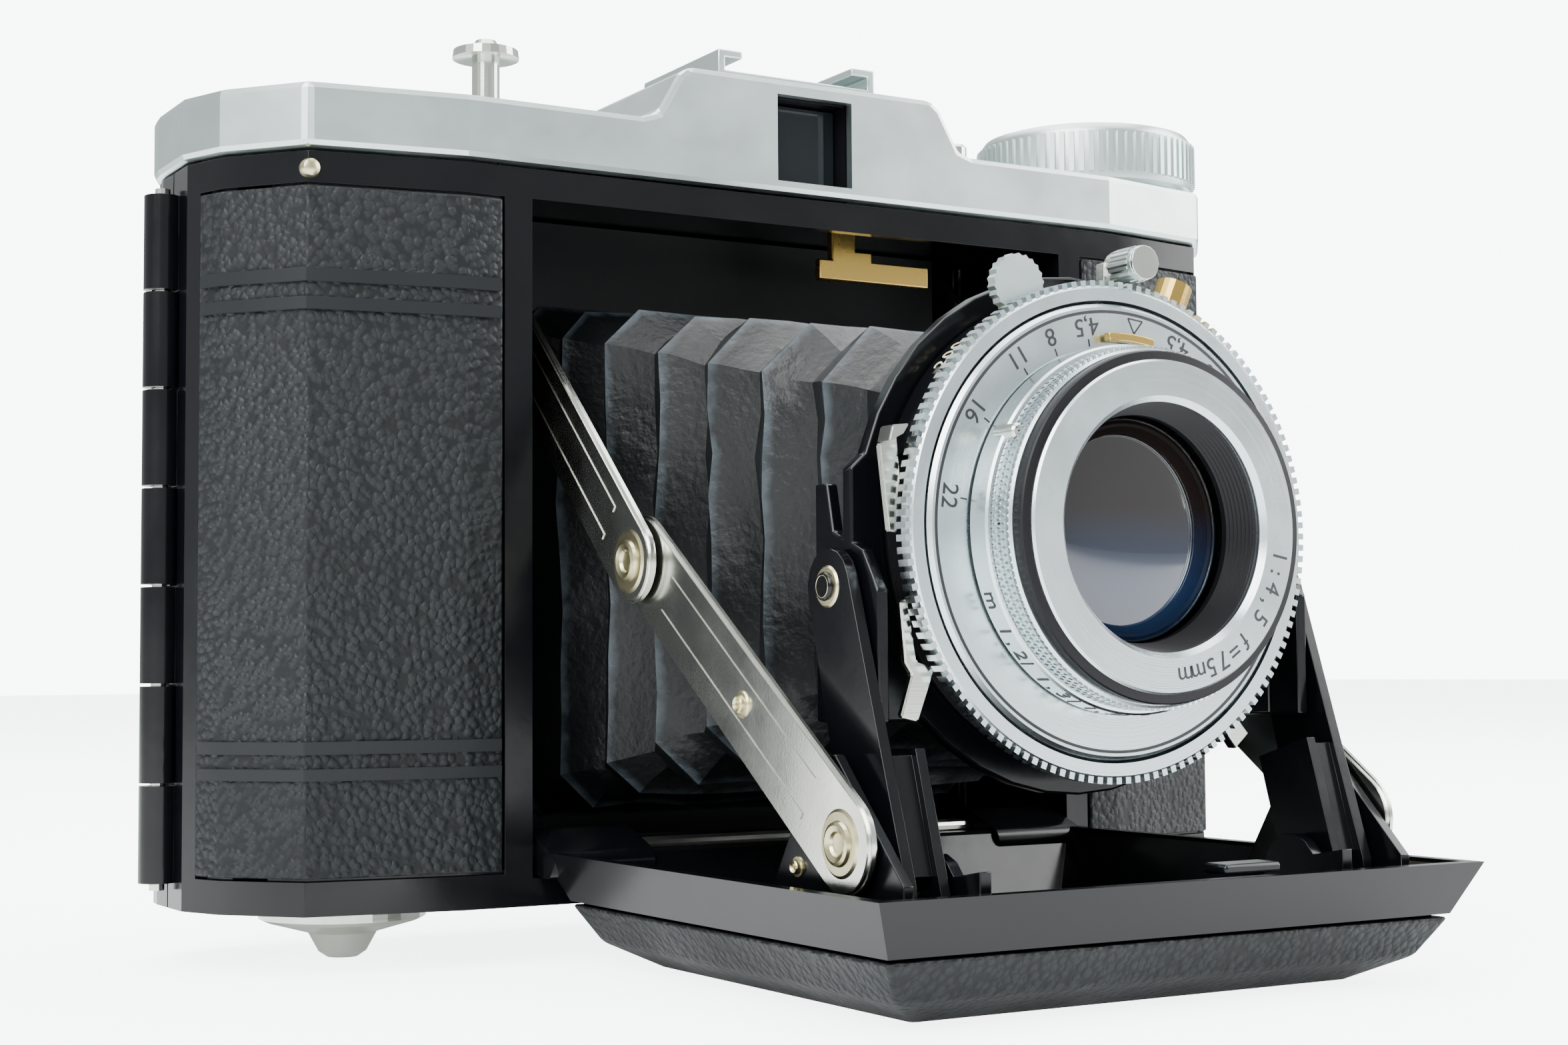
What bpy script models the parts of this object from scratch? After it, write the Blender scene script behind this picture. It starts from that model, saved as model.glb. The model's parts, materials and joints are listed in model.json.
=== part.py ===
"""Self-erecting folding roll-film camera (6 x 6 on 120 film), drop bed open and lens run out.

X to the right seen from the front, -Y towards the subject, +Z up.  The camera is drawn with its
front face at Y = 0 and its lens axis in the plane X = 0, and is then moved so that the origin lies
under the middle of the drop bed, on which it stands.  Lengths are in millimetres, scaled by MM.
"""
import math

import bmesh
import bpy
from mathutils import Matrix, Vector

MM = 0.001
GAP = 0.3                 # clearance between neighbouring pieces
RUN = 0.25                # extra radius of a hole round a turning pin

# ---- driving sizes ---------------------------------------------------------------------------
BODY_HALF = 66.0          # half width of the casing
BODY_HEIGHT = 76.3        # casing, underside to top
WALL = 1.4                # casing wall
FRONT_DEPTH = 20.3        # front casting, front face to seam
BACK_DEPTH = 13.2         # back cover, seam to back face
FACET_HALF = 41.6         # half width of the flat front facet
SHOULDER = (57.6, 2.7)    # bend between the raked facet and the corner chamfer
CORNER = (63.9, 10.2)     # bend between the corner chamfer and the end
BACK_ROUND = 9.5          # corner radius of the back, in plan
OPENING_HALF = 34.3       # half width of the door opening
LIP = 1.3                 # thickness of the front lip round the opening
RIM_DEPTH = 4.9           # metal rim of the drop bed
PAD_DEPTH = 6.35          # leathered part of the bed under the rim
BED_HALF = 33.9
BED_LENGTH = 67.2         # hinge axis to front edge
HINGE_Y = 3.0
SPOOL_X = 51.5            # film chambers, left and right of the lens
SPOOL_Y = 16.5
SPOOL_RADIUS = 12.4
SPOOL_LENGTH = 63.5
COVER_DECK = 6.7          # top cover, from its underside to the low deck
HUMP_RISE = 6.1           # finder hump above the low deck
HUMP_HALF = 16.7
LENS_HEIGHT = 42.15       # lens axis above the floor
FRONT_RING_Y = -59.8      # foremost face of the lens
STANDARD_Y = -45.0        # rear face of the lens standard
STANDARD_RADIUS = 24.3
GATE_HALF = 28.0          # film window, 56 mm square
FOOT_RADIUS = 8.7
FOOT_X = 48.6             # the left foot is not quite under its spool
LEATHER = 0.8
STRUT_HALF = 4.2          # half width of a folding strut
KNOB_RADIUS = 14.0
SPINDLE = 2.2             # radius of the pins that carry the film spools
BED_PIN = 1.1             # radius of the bed's hinge pin
BACK_PIN = 0.8            # radius of the back's hinge pin
ARM_PIN = 1.2             # radius of the pin at an arm's foot
STRUT_PIN = 1.3           # radius of the rivets of struts and standard
RELEASE_AT = (-35.2, 10.0)
LATCH_BUTTON_AT = (23.3, 5.5)
WINDOW_AT = (12.0, 43.8)

# ---- derived places --------------------------------------------------------------------------
HINGE_Z = RIM_DEPTH + PAD_DEPTH
BODY_LOW = 5.7
BODY_HIGH = BODY_LOW + BODY_HEIGHT
OPENING_LOW = HINGE_Z - 2.7
OPENING_HIGH = HINGE_Z + BED_LENGTH + 0.35
LEATHER_LOW = BODY_LOW + 3.7
LEATHER_HIGH = BODY_HIGH - 3.5
CEILING = BODY_HIGH - WALL
FLOOR_IN = BODY_LOW + WALL
SEAM_Y = FRONT_DEPTH + GAP
BACK_Y = FRONT_DEPTH + GAP + BACK_DEPTH
CHAMBER_RADIUS = SPOOL_RADIUS + 0.5
COVER_LOW = BODY_HIGH + GAP
DECK = COVER_LOW + COVER_DECK
HUMP_TOP = DECK + HUMP_RISE
FINDER_Z = (COVER_LOW + HUMP_TOP) / 2 - 0.2
FINDER_HALF = 4.85
SPOOL_LOW = (FLOOR_IN + CEILING - SPOOL_LENGTH) / 2
SPOOL_HIGH = SPOOL_LOW + SPOOL_LENGTH
GATE_FRONT = FRONT_DEPTH - 1.8
FILM_Y = GATE_FRONT + 5.2

# Fold linkage, seen from the side: (Y, Z) of each pivot with the bed down.
ARM_FOOT = (HINGE_Y - 56.0, HINGE_Z - 1.0)
ARM_HEAD = (STANDARD_Y, 37.0)
STRUT_FOOT = (HINGE_Y - 55.3, HINGE_Z + 3.75)
STRUT_KNEE = (-16.1, 40.4)
STRUT_HEAD = (20.75, 74.2)

# Side layers of the linkage, as half widths (inner, outer).
LUG_LAYER = (19.9, 21.1)
FLANGE_LAYER = (23.7, 24.9)
ARM_LAYER = (25.4, 26.5)
BRACKET_LAYER = (27.6, 28.6)
LOWER_STRUT_LAYER = (29.0, 30.0)
UPPER_STRUT_LAYER = (30.4, 31.4)


# ---- general helpers -------------------------------------------------------------------------
def empty_scene():
    """Remove whatever the opened file holds."""
    for old in list(bpy.data.objects):
        bpy.data.objects.remove(old, do_unlink=True)


def new_collection(name):
    group = bpy.data.collections.new(name)
    bpy.context.scene.collection.children.link(group)
    return group


empty_scene()
CAMERA = new_collection("folding_camera")
CUTTERS = new_collection("cutters")
JOINTS = {}


def finish(name, colour, roughness, metallic=0.0):
    """A Principled material."""
    made = bpy.data.materials.new(name)
    made.use_nodes = True
    shader = made.node_tree.nodes["Principled BSDF"]
    shader.inputs["Base Color"].default_value = (*colour, 1.0)
    shader.inputs["Roughness"].default_value = roughness
    shader.inputs["Metallic"].default_value = metallic
    return made


FINISHES = {
    "enamel": finish("black_enamel", (0.010, 0.011, 0.014), 0.25),
    "leather": finish("grained_leather", (0.045, 0.052, 0.058), 0.6),
    "satin": finish("satin_chrome", (0.72, 0.75, 0.74), 0.32, 1.0),
    "nickel": finish("bright_nickel", (0.78, 0.79, 0.78), 0.18, 1.0),
    "brass": finish("brass", (0.72, 0.58, 0.33), 0.3, 1.0),
    "black_metal": finish("blackened_metal", (0.02, 0.02, 0.022), 0.45, 0.6),
    "glass": finish("coated_glass", (0.16, 0.15, 0.17), 0.05),
    "cloth": finish("bellows_leather", (0.05, 0.06, 0.07), 0.55),
    "red": finish("red_window", (0.45, 0.01, 0.01), 0.15),
    "bakelite": finish("black_bakelite", (0.015, 0.015, 0.015), 0.35),
}


def link(name, mesh, kind):
    """Put a finished mesh in the camera's collection under its node name."""
    made = bpy.data.objects.new(name, mesh)
    own = FINISHES[kind].copy()
    own.name = name + "_finish"
    made.data.materials.append(own)
    CAMERA.objects.link(made)
    return made


def from_bmesh(name, cage, kind):
    mesh = bpy.data.meshes.new(name)
    bmesh.ops.recalc_face_normals(cage, faces=cage.faces)
    cage.to_mesh(mesh)
    cage.free()
    return link(name, mesh, kind)


def block(name, low, high, kind="enamel"):
    """A box between two corners, in millimetres."""
    cage = bmesh.new()
    bmesh.ops.create_cube(cage, size=1.0)
    low, high = Vector(low) * MM, Vector(high) * MM
    for corner in cage.verts:
        corner.co = Vector(((low[i] + high[i]) / 2 + corner.co[i] * (high[i] - low[i])) for i in range(3))
    return from_bmesh(name, cage, kind)


AXES = {
    "X": Matrix(((0, 0, 1), (1, 0, 0), (0, 1, 0))).to_4x4(),
    "Y": Matrix(((1, 0, 0), (0, 0, -1), (0, 1, 0))).to_4x4(),
    "Z": Matrix.Identity(4),
}


def drum(name, start, length, radius, axis="Z", kind="enamel", far_radius=None, sides=24):
    """A cylinder or cone that starts at a point and runs a length along an axis."""
    cage = bmesh.new()
    far = radius if far_radius is None else far_radius
    bmesh.ops.create_cone(cage, cap_ends=True, segments=sides, radius1=radius * MM, radius2=far * MM,
                          depth=abs(length) * MM)
    turn = {"X": Matrix.Rotation(math.pi / 2, 4, "Y"), "Y": Matrix.Rotation(-math.pi / 2, 4, "X"),
            "Z": Matrix.Identity(4)}[axis]
    if length < 0:
        turn = turn @ Matrix.Rotation(math.pi, 4, "X")
    along = Vector({"X": (1, 0, 0), "Y": (0, 1, 0), "Z": (0, 0, 1)}[axis])
    place = Matrix.Translation((Vector(start) + along * length / 2) * MM)
    bmesh.ops.transform(cage, matrix=place @ turn, verts=cage.verts)
    return from_bmesh(name, cage, kind)


def plate(name, outline, low, high, axis="Z", kind="enamel", holes=()):
    """A flat outline made thick between two values of one axis.

    The outline's points are (x, y) for Z, (y, z) for X and (x, z) for Y.
    """
    flat = bpy.data.curves.new(name + "_outline", "CURVE")
    flat.dimensions = "2D"
    flat.fill_mode = "BOTH"
    flat.extrude = (high - low) / 2 * MM
    for loop in (outline, *holes):
        spline = flat.splines.new("POLY")
        spline.points.add(len(loop) - 1)
        for point, (u, v) in zip(spline.points, loop):
            point.co = (u * MM, v * MM, 0.0, 1.0)
        spline.use_cyclic_u = True
    guide = bpy.data.objects.new(name + "_guide", flat)
    bpy.context.scene.collection.objects.link(guide)
    graph = bpy.context.evaluated_depsgraph_get()
    mesh = bpy.data.meshes.new_from_object(guide.evaluated_get(graph))
    bpy.data.objects.remove(guide, do_unlink=True)
    bpy.data.curves.remove(flat)
    middle = {"X": ((low + high) / 2, 0, 0), "Y": (0, (low + high) / 2, 0),
              "Z": (0, 0, (low + high) / 2)}[axis]
    cage = bmesh.new()
    cage.from_mesh(mesh)
    bpy.data.meshes.remove(mesh)
    bmesh.ops.remove_doubles(cage, verts=cage.verts, dist=0.002 * MM)
    bmesh.ops.transform(cage, matrix=Matrix.Translation(Vector(middle) * MM) @ AXES[axis], verts=cage.verts)
    return from_bmesh(name, cage, kind)


def turned(name, profile, centre, axis="Z", kind="enamel", steps=32, ring=False):
    """A turned shape: (radius, height) points run down the outer side, then back up the bore.

    For axis Y the profile's height runs towards the subject, along -Y.
    """
    mesh = bpy.data.meshes.new(name)
    points = [(radius * MM, 0.0, height * MM) for radius, height in profile]
    edges = [(i, i + 1) for i in range(len(points) - 1)]
    if ring:
        edges.append((len(points) - 1, 0))
    mesh.from_pydata(points, edges, [])
    made = link(name, mesh, kind)
    made.location = Vector(centre) * MM
    if axis == "Y":
        made.rotation_euler = (math.pi / 2, 0.0, 0.0)
    spin = made.modifiers.new("turn", "SCREW")
    spin.steps = steps
    spin.render_steps = steps
    spin.use_merge_vertices = True
    spin.merge_threshold = 0.00001
    spin.use_smooth_shade = True
    return made


def loft(name, rings, kind="enamel"):
    """A closed shape through level rings that hold the same number of corners each."""
    cage = bmesh.new()
    rows = [[cage.verts.new(Vector(corner) * MM) for corner in ring] for ring in rings]
    count = len(rows[0])
    for first, second in zip(rows, rows[1:]):
        for i in range(count):
            cage.faces.new((first[i], first[(i + 1) % count], second[(i + 1) % count], second[i]))
    cage.faces.new(rows[0])
    cage.faces.new(rows[-1])
    return from_bmesh(name, cage, kind)


def boolean(target, tool, operation):
    """Cut or join a helper shape, which is kept out of the model.

    The casing's slanted facets defeat the exact solver after the second pocket, so it takes the other one.
    """
    step = target.modifiers.new(tool.name, "BOOLEAN")
    step.operation = operation
    step.solver = "MANIFOLD" if target.name == "body_shell" else "EXACT"
    step.object = tool
    if tool.name in CAMERA.objects:
        CAMERA.objects.unlink(tool)
        CUTTERS.objects.link(tool)
    tool.hide_render = True
    tool.display_type = "WIRE"


def cut(target, *tools):
    for tool in tools:
        boolean(target, tool, "DIFFERENCE")


def join(target, *tools):
    for tool in tools:
        boolean(target, tool, "UNION")


def soften(target, width, angle=40.0, segments=1):
    """Break the sharp edges."""
    step = target.modifiers.new("broken_edges", "BEVEL")
    step.width = width * MM
    step.segments = segments
    step.limit_method = "ANGLE"
    step.angle_limit = math.radians(angle)


def joint(name, point, *pieces):
    """Hang pieces on an empty that stands on their joint's axis."""
    if name not in JOINTS:
        hanger = bpy.data.objects.new(name + "_axis", None)
        hanger.location = Vector(point) * MM
        hanger.empty_display_size = 0.01
        CAMERA.objects.link(hanger)
        JOINTS[name] = hanger
    for piece in pieces:
        piece.parent = JOINTS[name]
        piece.matrix_parent_inverse = Matrix.Translation(-Vector(point) * MM)


def arc(centre, radius, start, stop, count):
    """Points on an arc, angles in degrees."""
    steps = [math.radians(start + (stop - start) * i / (count - 1)) for i in range(count)]
    return [(centre[0] + radius * math.cos(a), centre[1] + radius * math.sin(a)) for a in steps]


def offset_line(points, distance):
    """Shift an open line to its left by a distance, with mitred bends."""
    moved = []
    for i, point in enumerate(points):
        normals = []
        for a, b in ((i - 1, i), (i, i + 1)):
            if a >= 0 and b < len(points):
                run = Vector(points[b]) - Vector(points[a])
                normals.append(Vector((-run.y, run.x)).normalized())
        mean = sum(normals, Vector((0.0, 0.0))) / len(normals)
        moved.append(tuple(Vector(point) + mean * (distance / mean.length_squared)))
    return moved


def mirrored(points):
    return [(-x, y) for x, y in reversed(points)]


def capsule(start, stop, start_radius, stop_radius, count=9):
    """Outline of a bar with two round ends."""
    heading = math.degrees(math.atan2(stop[1] - start[1], stop[0] - start[0]))
    return (arc(start, start_radius, heading + 90, heading + 270, count)
            + arc(stop, stop_radius, heading - 90, heading + 90, count))


# ---- casing ----------------------------------------------------------------------------------
# Right half of the plan outline, front centre to seam, and seam to back centre.
FRONT_RIGHT = [(0.0, 0.0), (FACET_HALF, 0.0), SHOULDER, CORNER, (BODY_HALF, CORNER[1] + 5.4),
               (BODY_HALF, FRONT_DEPTH)]
BACK_RIGHT = [(BODY_HALF, SEAM_Y)] + arc((BODY_HALF - BACK_ROUND, BACK_Y - BACK_ROUND), BACK_ROUND, 0, 90, 7)

HINGE_EDGE = (-(BODY_HALF + 1.3), FRONT_DEPTH - 0.4)      # back cover's hinge, in plan
KNUCKLE_RADIUS = 1.9
KNUCKLES = 7
KNUCKLE_LOW = BODY_LOW + 2.5
KNUCKLE_PITCH = (BODY_HEIGHT - 5.0) / KNUCKLES


def whole_plan(grow=0.0):
    """Closed plan outline of the camera, front and back, grown outwards by a distance."""
    right = offset_line([(-1.0, 0.0)] + FRONT_RIGHT[1:] + BACK_RIGHT[1:] + [(-1.0, BACK_Y)], -grow)[1:-1]
    return right + mirrored(right)


def knuckles(target, first, own_gap):
    """Every other hinge knuckle belongs to this piece, and the places between are cleared."""
    for i in range(KNUCKLES):
        low = KNUCKLE_LOW + i * KNUCKLE_PITCH
        if i % 2 == first:
            bead = drum(target.name + f"_knuckle_{i}", (*HINGE_EDGE, low + own_gap),
                        KNUCKLE_PITCH - 2 * own_gap, KNUCKLE_RADIUS, sides=16)
            join(target, bead)
        else:
            room = drum(target.name + f"_clearing_{i}", (*HINGE_EDGE, low - 0.6 * own_gap),
                        KNUCKLE_PITCH + 1.2 * own_gap, KNUCKLE_RADIUS + GAP, sides=16)
            cut(target, room)
    bore = drum(target.name + "_pin_bore", (*HINGE_EDGE, KNUCKLE_LOW - 1), BODY_HEIGHT, BACK_PIN + RUN,
                sides=12)
    cut(target, bore)


def leather_pocket(side):
    """Recess in the casting for a front leather panel."""
    path = leather_path()
    outline = offset_line(path, 0.3 + LEATHER - 0.25) + list(reversed(offset_line(path, -2.0)))
    outline = [(side * x, y) for x, y in outline]
    return plate(f"pocket_{side}", outline, LEATHER_LOW - GAP, LEATHER_HIGH + GAP)


def leather_path(trim=0.0):
    """Plan line of a front leather panel on the right half, from the opening to the end."""
    end_y = CORNER[1] + 3.4
    along = (end_y - CORNER[1]) / (FRONT_RIGHT[4][1] - CORNER[1])
    end_x = CORNER[0] + (BODY_HALF - CORNER[0]) * along
    return [(OPENING_HALF + 3.1 + trim, 0.0), FRONT_RIGHT[1], SHOULDER, CORNER, (end_x, end_y - trim)]


def make_casing():
    plan = FRONT_RIGHT[1:] + mirrored(FRONT_RIGHT[1:])
    shell = plate("body_shell", plan, BODY_LOW, BODY_HIGH)
    cut(shell, *[leather_pocket(side) for side in (-1, 1)])
    cut(shell,
        plate("opening_room", [(-2, OPENING_LOW), (LIP, OPENING_LOW), (LIP, FLOOR_IN), (30, FLOOR_IN),
                               (30, CEILING),
                               (LIP, CEILING), (LIP, OPENING_HIGH), (-2, OPENING_HIGH)],
              -OPENING_HALF, OPENING_HALF, "X"),
        drum("hinge_bore", (-OPENING_HALF - 1.2, HINGE_Y, HINGE_Z), 2 * OPENING_HALF + 2.4, BED_PIN + RUN,
             "X",
             sides=16))
    sides = (-1, 1)
    cut(shell, *[plate(f"chamber_{side}", arc((side * SPOOL_X, SPOOL_Y), CHAMBER_RADIUS, 180, 360, 17)
                       + [(side * SPOOL_X + CHAMBER_RADIUS, 31), (side * SPOOL_X - CHAMBER_RADIUS, 31)],
                       FLOOR_IN + 0.2, CEILING - 0.2) for side in sides])
    cut(shell, *[drum(f"spindle_bore_{side}", (side * SPOOL_X, SPOOL_Y, BODY_LOW - 1), BODY_HEIGHT + 2,
                      SPINDLE + RUN, sides=20) for side in sides])
    cut(shell, drum("button_bore", (*RELEASE_AT, CEILING - 3), 8, 1.3 + RUN, sides=12))
    knuckles(shell, 0, 0.15)

    for side, name in ((-1, "leather_left"), (1, "leather_right")):
        path = leather_path(trim=GAP)
        outline = offset_line(path, LEATHER - 0.25) + list(reversed(offset_line(path, -0.25)))
        outline = [(side * x, y) for x, y in outline]
        plate(name, outline, LEATHER_LOW, LEATHER_HIGH, kind="leather")
    drum("back_hinge_pin", (*HINGE_EDGE, KNUCKLE_LOW - 0.6), KNUCKLES * KNUCKLE_PITCH + 1.2, BACK_PIN,
         kind="nickel", sides=12)


def make_film_room():
    """What holds and guides the film inside the casing."""
    gate_side = LOWER_STRUT_LAYER[0] - GAP            # the folded struts lie beside the gate
    gate = block("film_gate", (-gate_side, GATE_FRONT, FLOOR_IN + GAP), (gate_side, FILM_Y, CEILING - GAP),
                 "black_metal")
    cut(gate, block("film_window", (-GATE_HALF, GATE_FRONT - 5, LENS_HEIGHT - GATE_HALF),
                    (GATE_HALF, FILM_Y + 5, LENS_HEIGHT + GATE_HALF)))
    roller_x = (OPENING_HALF + SPOOL_X - CHAMBER_RADIUS) / 2
    for side, name in ((-1, "film_roller_left"), (1, "film_roller_right")):
        drum(name, (side * roller_x, FRONT_DEPTH + GAP + 1.7, FLOOR_IN + GAP), CEILING - FLOOR_IN - 2 * GAP,
             1.7,
             kind="nickel", sides=16)

    reach = SPOOL_LOW + 4.0
    disc_low = BODY_LOW - GAP - 1.5
    foot = turned("spool_foot_left",
                  [(0, BODY_LOW - GAP), (FOOT_RADIUS, BODY_LOW - GAP), (FOOT_RADIUS, disc_low + 0.3),
                   (FOOT_RADIUS - 0.8, disc_low - 0.1), (3.6, 2.6), (2.5, 0.6), (1.6, 0.0), (0, 0.0)],
                  (-FOOT_X, SPOOL_Y, 0), kind="nickel", steps=32)
    join(foot, drum("foot_spindle", (-SPOOL_X, SPOOL_Y, disc_low + 0.5), reach - disc_low - 0.5, SPINDLE,
                    sides=20))
    turned("tripod_foot_right", [(0, reach), (SPINDLE, reach), (SPINDLE, BODY_LOW - GAP),
                                 (FOOT_RADIUS, BODY_LOW - GAP), (FOOT_RADIUS, disc_low), (6.6, disc_low),
                                 (6.6, 0.0), (3.2, 0.0), (3.2, 3.6), (0, 3.6)],
           (SPOOL_X, SPOOL_Y, 0), kind="nickel", steps=32)
    turned("spool_pin_top", [(0, COVER_LOW + 2.0), (4.0, COVER_LOW + 2.0), (4.0, BODY_HIGH + GAP),
                             (SPINDLE, BODY_HIGH + GAP), (SPINDLE, SPOOL_HIGH - 4.0), (0, SPOOL_HIGH - 4.0)],
           (-SPOOL_X, SPOOL_Y, 0), kind="nickel", steps=20)
    core = 5.6
    bore = SPINDLE + RUN + 0.1
    spool = turned("takeup_spool",
                   [(0, SPOOL_HIGH - 8), (bore, SPOOL_HIGH - 8), (bore, SPOOL_HIGH),
                    (SPOOL_RADIUS, SPOOL_HIGH),
                    (SPOOL_RADIUS, SPOOL_HIGH - 0.9), (core, SPOOL_HIGH - 0.9), (core, SPOOL_LOW + 0.9),
                    (SPOOL_RADIUS, SPOOL_LOW + 0.9), (SPOOL_RADIUS, SPOOL_LOW), (bore, SPOOL_LOW),
                    (bore, SPOOL_LOW + 8), (0, SPOOL_LOW + 8)],
                   (SPOOL_X, SPOOL_Y, 0), kind="bakelite", steps=28)
    joint("takeup_turn", (SPOOL_X, SPOOL_Y, 0), spool)

    knob_low = DECK + 0.6
    knob_high = knob_low + 7.6
    knob = turned("winding_knob",
                  [(0, knob_high - 1.2), (KNOB_RADIUS - 4.0, knob_high - 1.2), (KNOB_RADIUS - 3.2, knob_high),
                   (KNOB_RADIUS - 0.8, knob_high), (KNOB_RADIUS, knob_high - 0.8),
                   (KNOB_RADIUS, knob_low + 0.5),
                   (KNOB_RADIUS - 0.5, knob_low), (SPINDLE, knob_low), (SPINDLE, SPOOL_HIGH - 6),
                   (0, SPOOL_HIGH - 6)],
                  (SPOOL_X, SPOOL_Y, 0), kind="satin", steps=48)
    joint("knob_turn", (SPOOL_X, SPOOL_Y, 0), knob)


# ---- top cover, finder and buttons -----------------------------------------------------------
def hump_profile(drop):
    """Front view outline of the top cover, shrunk by a wall thickness."""
    half = BODY_HALF + 4
    foot = HUMP_HALF + 3.6
    return ([(-half, COVER_LOW - (3.0 if drop else 0.0)), (half, COVER_LOW - (3.0 if drop else 0.0)),
             (half, DECK - drop), (foot + 1.2 - drop, DECK - drop), (foot - 0.6 - drop, DECK + 0.6 - drop),
             (HUMP_HALF + 0.4 - drop, HUMP_TOP - 1.0 - drop), (HUMP_HALF - 0.9 - drop, HUMP_TOP - drop)]
            + [(-HUMP_HALF + 0.9 + drop, HUMP_TOP - drop), (-HUMP_HALF - 0.4 + drop, HUMP_TOP - 1.0 - drop),
               (-foot + 0.6 + drop, DECK + 0.6 - drop), (-foot - 1.2 + drop, DECK - drop),
               (-half, DECK - drop)])


def make_top():
    skin = 1.1
    cover = plate("top_cover", hump_profile(0.0), -2.0, BACK_Y + 2.0, "Y", "satin")
    boolean(cover, plate("cover_plan", whole_plan(0.6), COVER_LOW - 5, HUMP_TOP + 5), "INTERSECT")
    soften(cover, 0.7, 35.0, 2)
    hollow = plate("cover_hollow", hump_profile(skin), -1.0, BACK_Y + 1.0, "Y")
    boolean(hollow, plate("cover_hollow_plan", whole_plan(0.6 - skin), COVER_LOW - 6, HUMP_TOP + 5),
            "INTERSECT")
    cut(cover, hollow,
        block("finder_window", (-FINDER_HALF, -5, FINDER_Z - FINDER_HALF),
              (FINDER_HALF, 2.0, FINDER_Z + FINDER_HALF)),
        drum("eyepiece_bore", (0, BACK_Y - 3, FINDER_Z), 8, 3.9, "Y", sides=20),
        drum("release_bore", (*RELEASE_AT, COVER_LOW), 12, 1.5 + 2 * RUN, sides=16),
        drum("latch_bore", (*LATCH_BUTTON_AT, COVER_LOW), 12, 1.4 + 2 * RUN, sides=16),
        drum("knob_bore", (SPOOL_X, SPOOL_Y, COVER_LOW), 12, SPINDLE + 2 * RUN, sides=20))

    tube_low = COVER_LOW + 0.35
    tube_high = HUMP_TOP - skin - GAP
    tube = block("finder_tube", (-FINDER_HALF - 1.1, 0.9, tube_low),
                 (FINDER_HALF + 1.1, BACK_Y - 1.0, tube_high),
                 "black_metal")
    cut(tube, block("finder_sight", (-FINDER_HALF, -3, tube_low + 0.9),
                    (FINDER_HALF, BACK_Y + 2, tube_high - 0.5)))
    pane_low, pane_high = tube_low + 0.9 + 0.25, tube_high - 0.5 - 0.25
    block("finder_front_lens", (-FINDER_HALF + 0.25, 3.0, pane_low), (FINDER_HALF - 0.25, 4.8, pane_high),
          "glass")
    eyepiece = turned("finder_eyepiece", [(2.6, 1.7), (5.2, 1.7), (5.2, 0.6), (3.6, 0.6), (3.6, -1.8),
                                          (2.6, -1.8)],
                      (0, BACK_Y + GAP, FINDER_Z), "Y", "black_metal", 24, ring=True)
    eyepiece.rotation_euler = (-math.pi / 2, 0.0, 0.0)

    rail = 10.3
    base = HUMP_TOP + GAP
    profile = [(-rail, base), (rail, base), (rail, base + 3.2), (rail - 3.1, base + 3.2),
               (rail - 3.1, base + 2.3),
               (rail - 0.9, base + 2.3), (rail - 0.9, base + 0.9)]
    profile += [(-x, z) for x, z in reversed(profile[2:])]
    plate("accessory_shoe", profile, 3.0, 21.0, "Y", "satin")

    release = turned("release_button", [(0, DECK + 8.9), (1.1, DECK + 8.7), (1.5, DECK + 8.0),
                                        (3.5, DECK + 7.6),
                                        (3.6, DECK + 6.7), (1.5, DECK + 7.0), (1.5, COVER_LOW + 1.6),
                                        (1.3, COVER_LOW + 1.6), (1.3, CEILING - 0.2), (0, CEILING - 0.2)],
                     (*RELEASE_AT, 0), kind="nickel", steps=24)
    joint("release_press", (*RELEASE_AT, DECK), release)
    latch = turned("door_button", [(0, DECK + 2.9), (1.0, DECK + 2.8), (1.4, DECK + 2.4),
                                   (1.4, COVER_LOW + 2.2),
                                   (0, COVER_LOW + 2.2)],
                   (*LATCH_BUTTON_AT, 0), kind="nickel", steps=16)
    joint("door_button_press", (*LATCH_BUTTON_AT, DECK), latch)
    bar = OPENING_HIGH - 4.4
    link_bar = plate("release_link",
                     [(4.7, bar), (19.8, bar), (19.8, bar + 2.4), (11.9, bar + 2.4), (11.9, bar + 3.5),
                      (9.6, bar + 3.5), (9.6, CEILING - GAP), (6.4, CEILING - GAP), (6.4, bar + 2.4),
                      (4.7, bar + 2.4)], 6.2, 7.4, "Y", "brass")
    soften(link_bar, 0.15)


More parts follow.
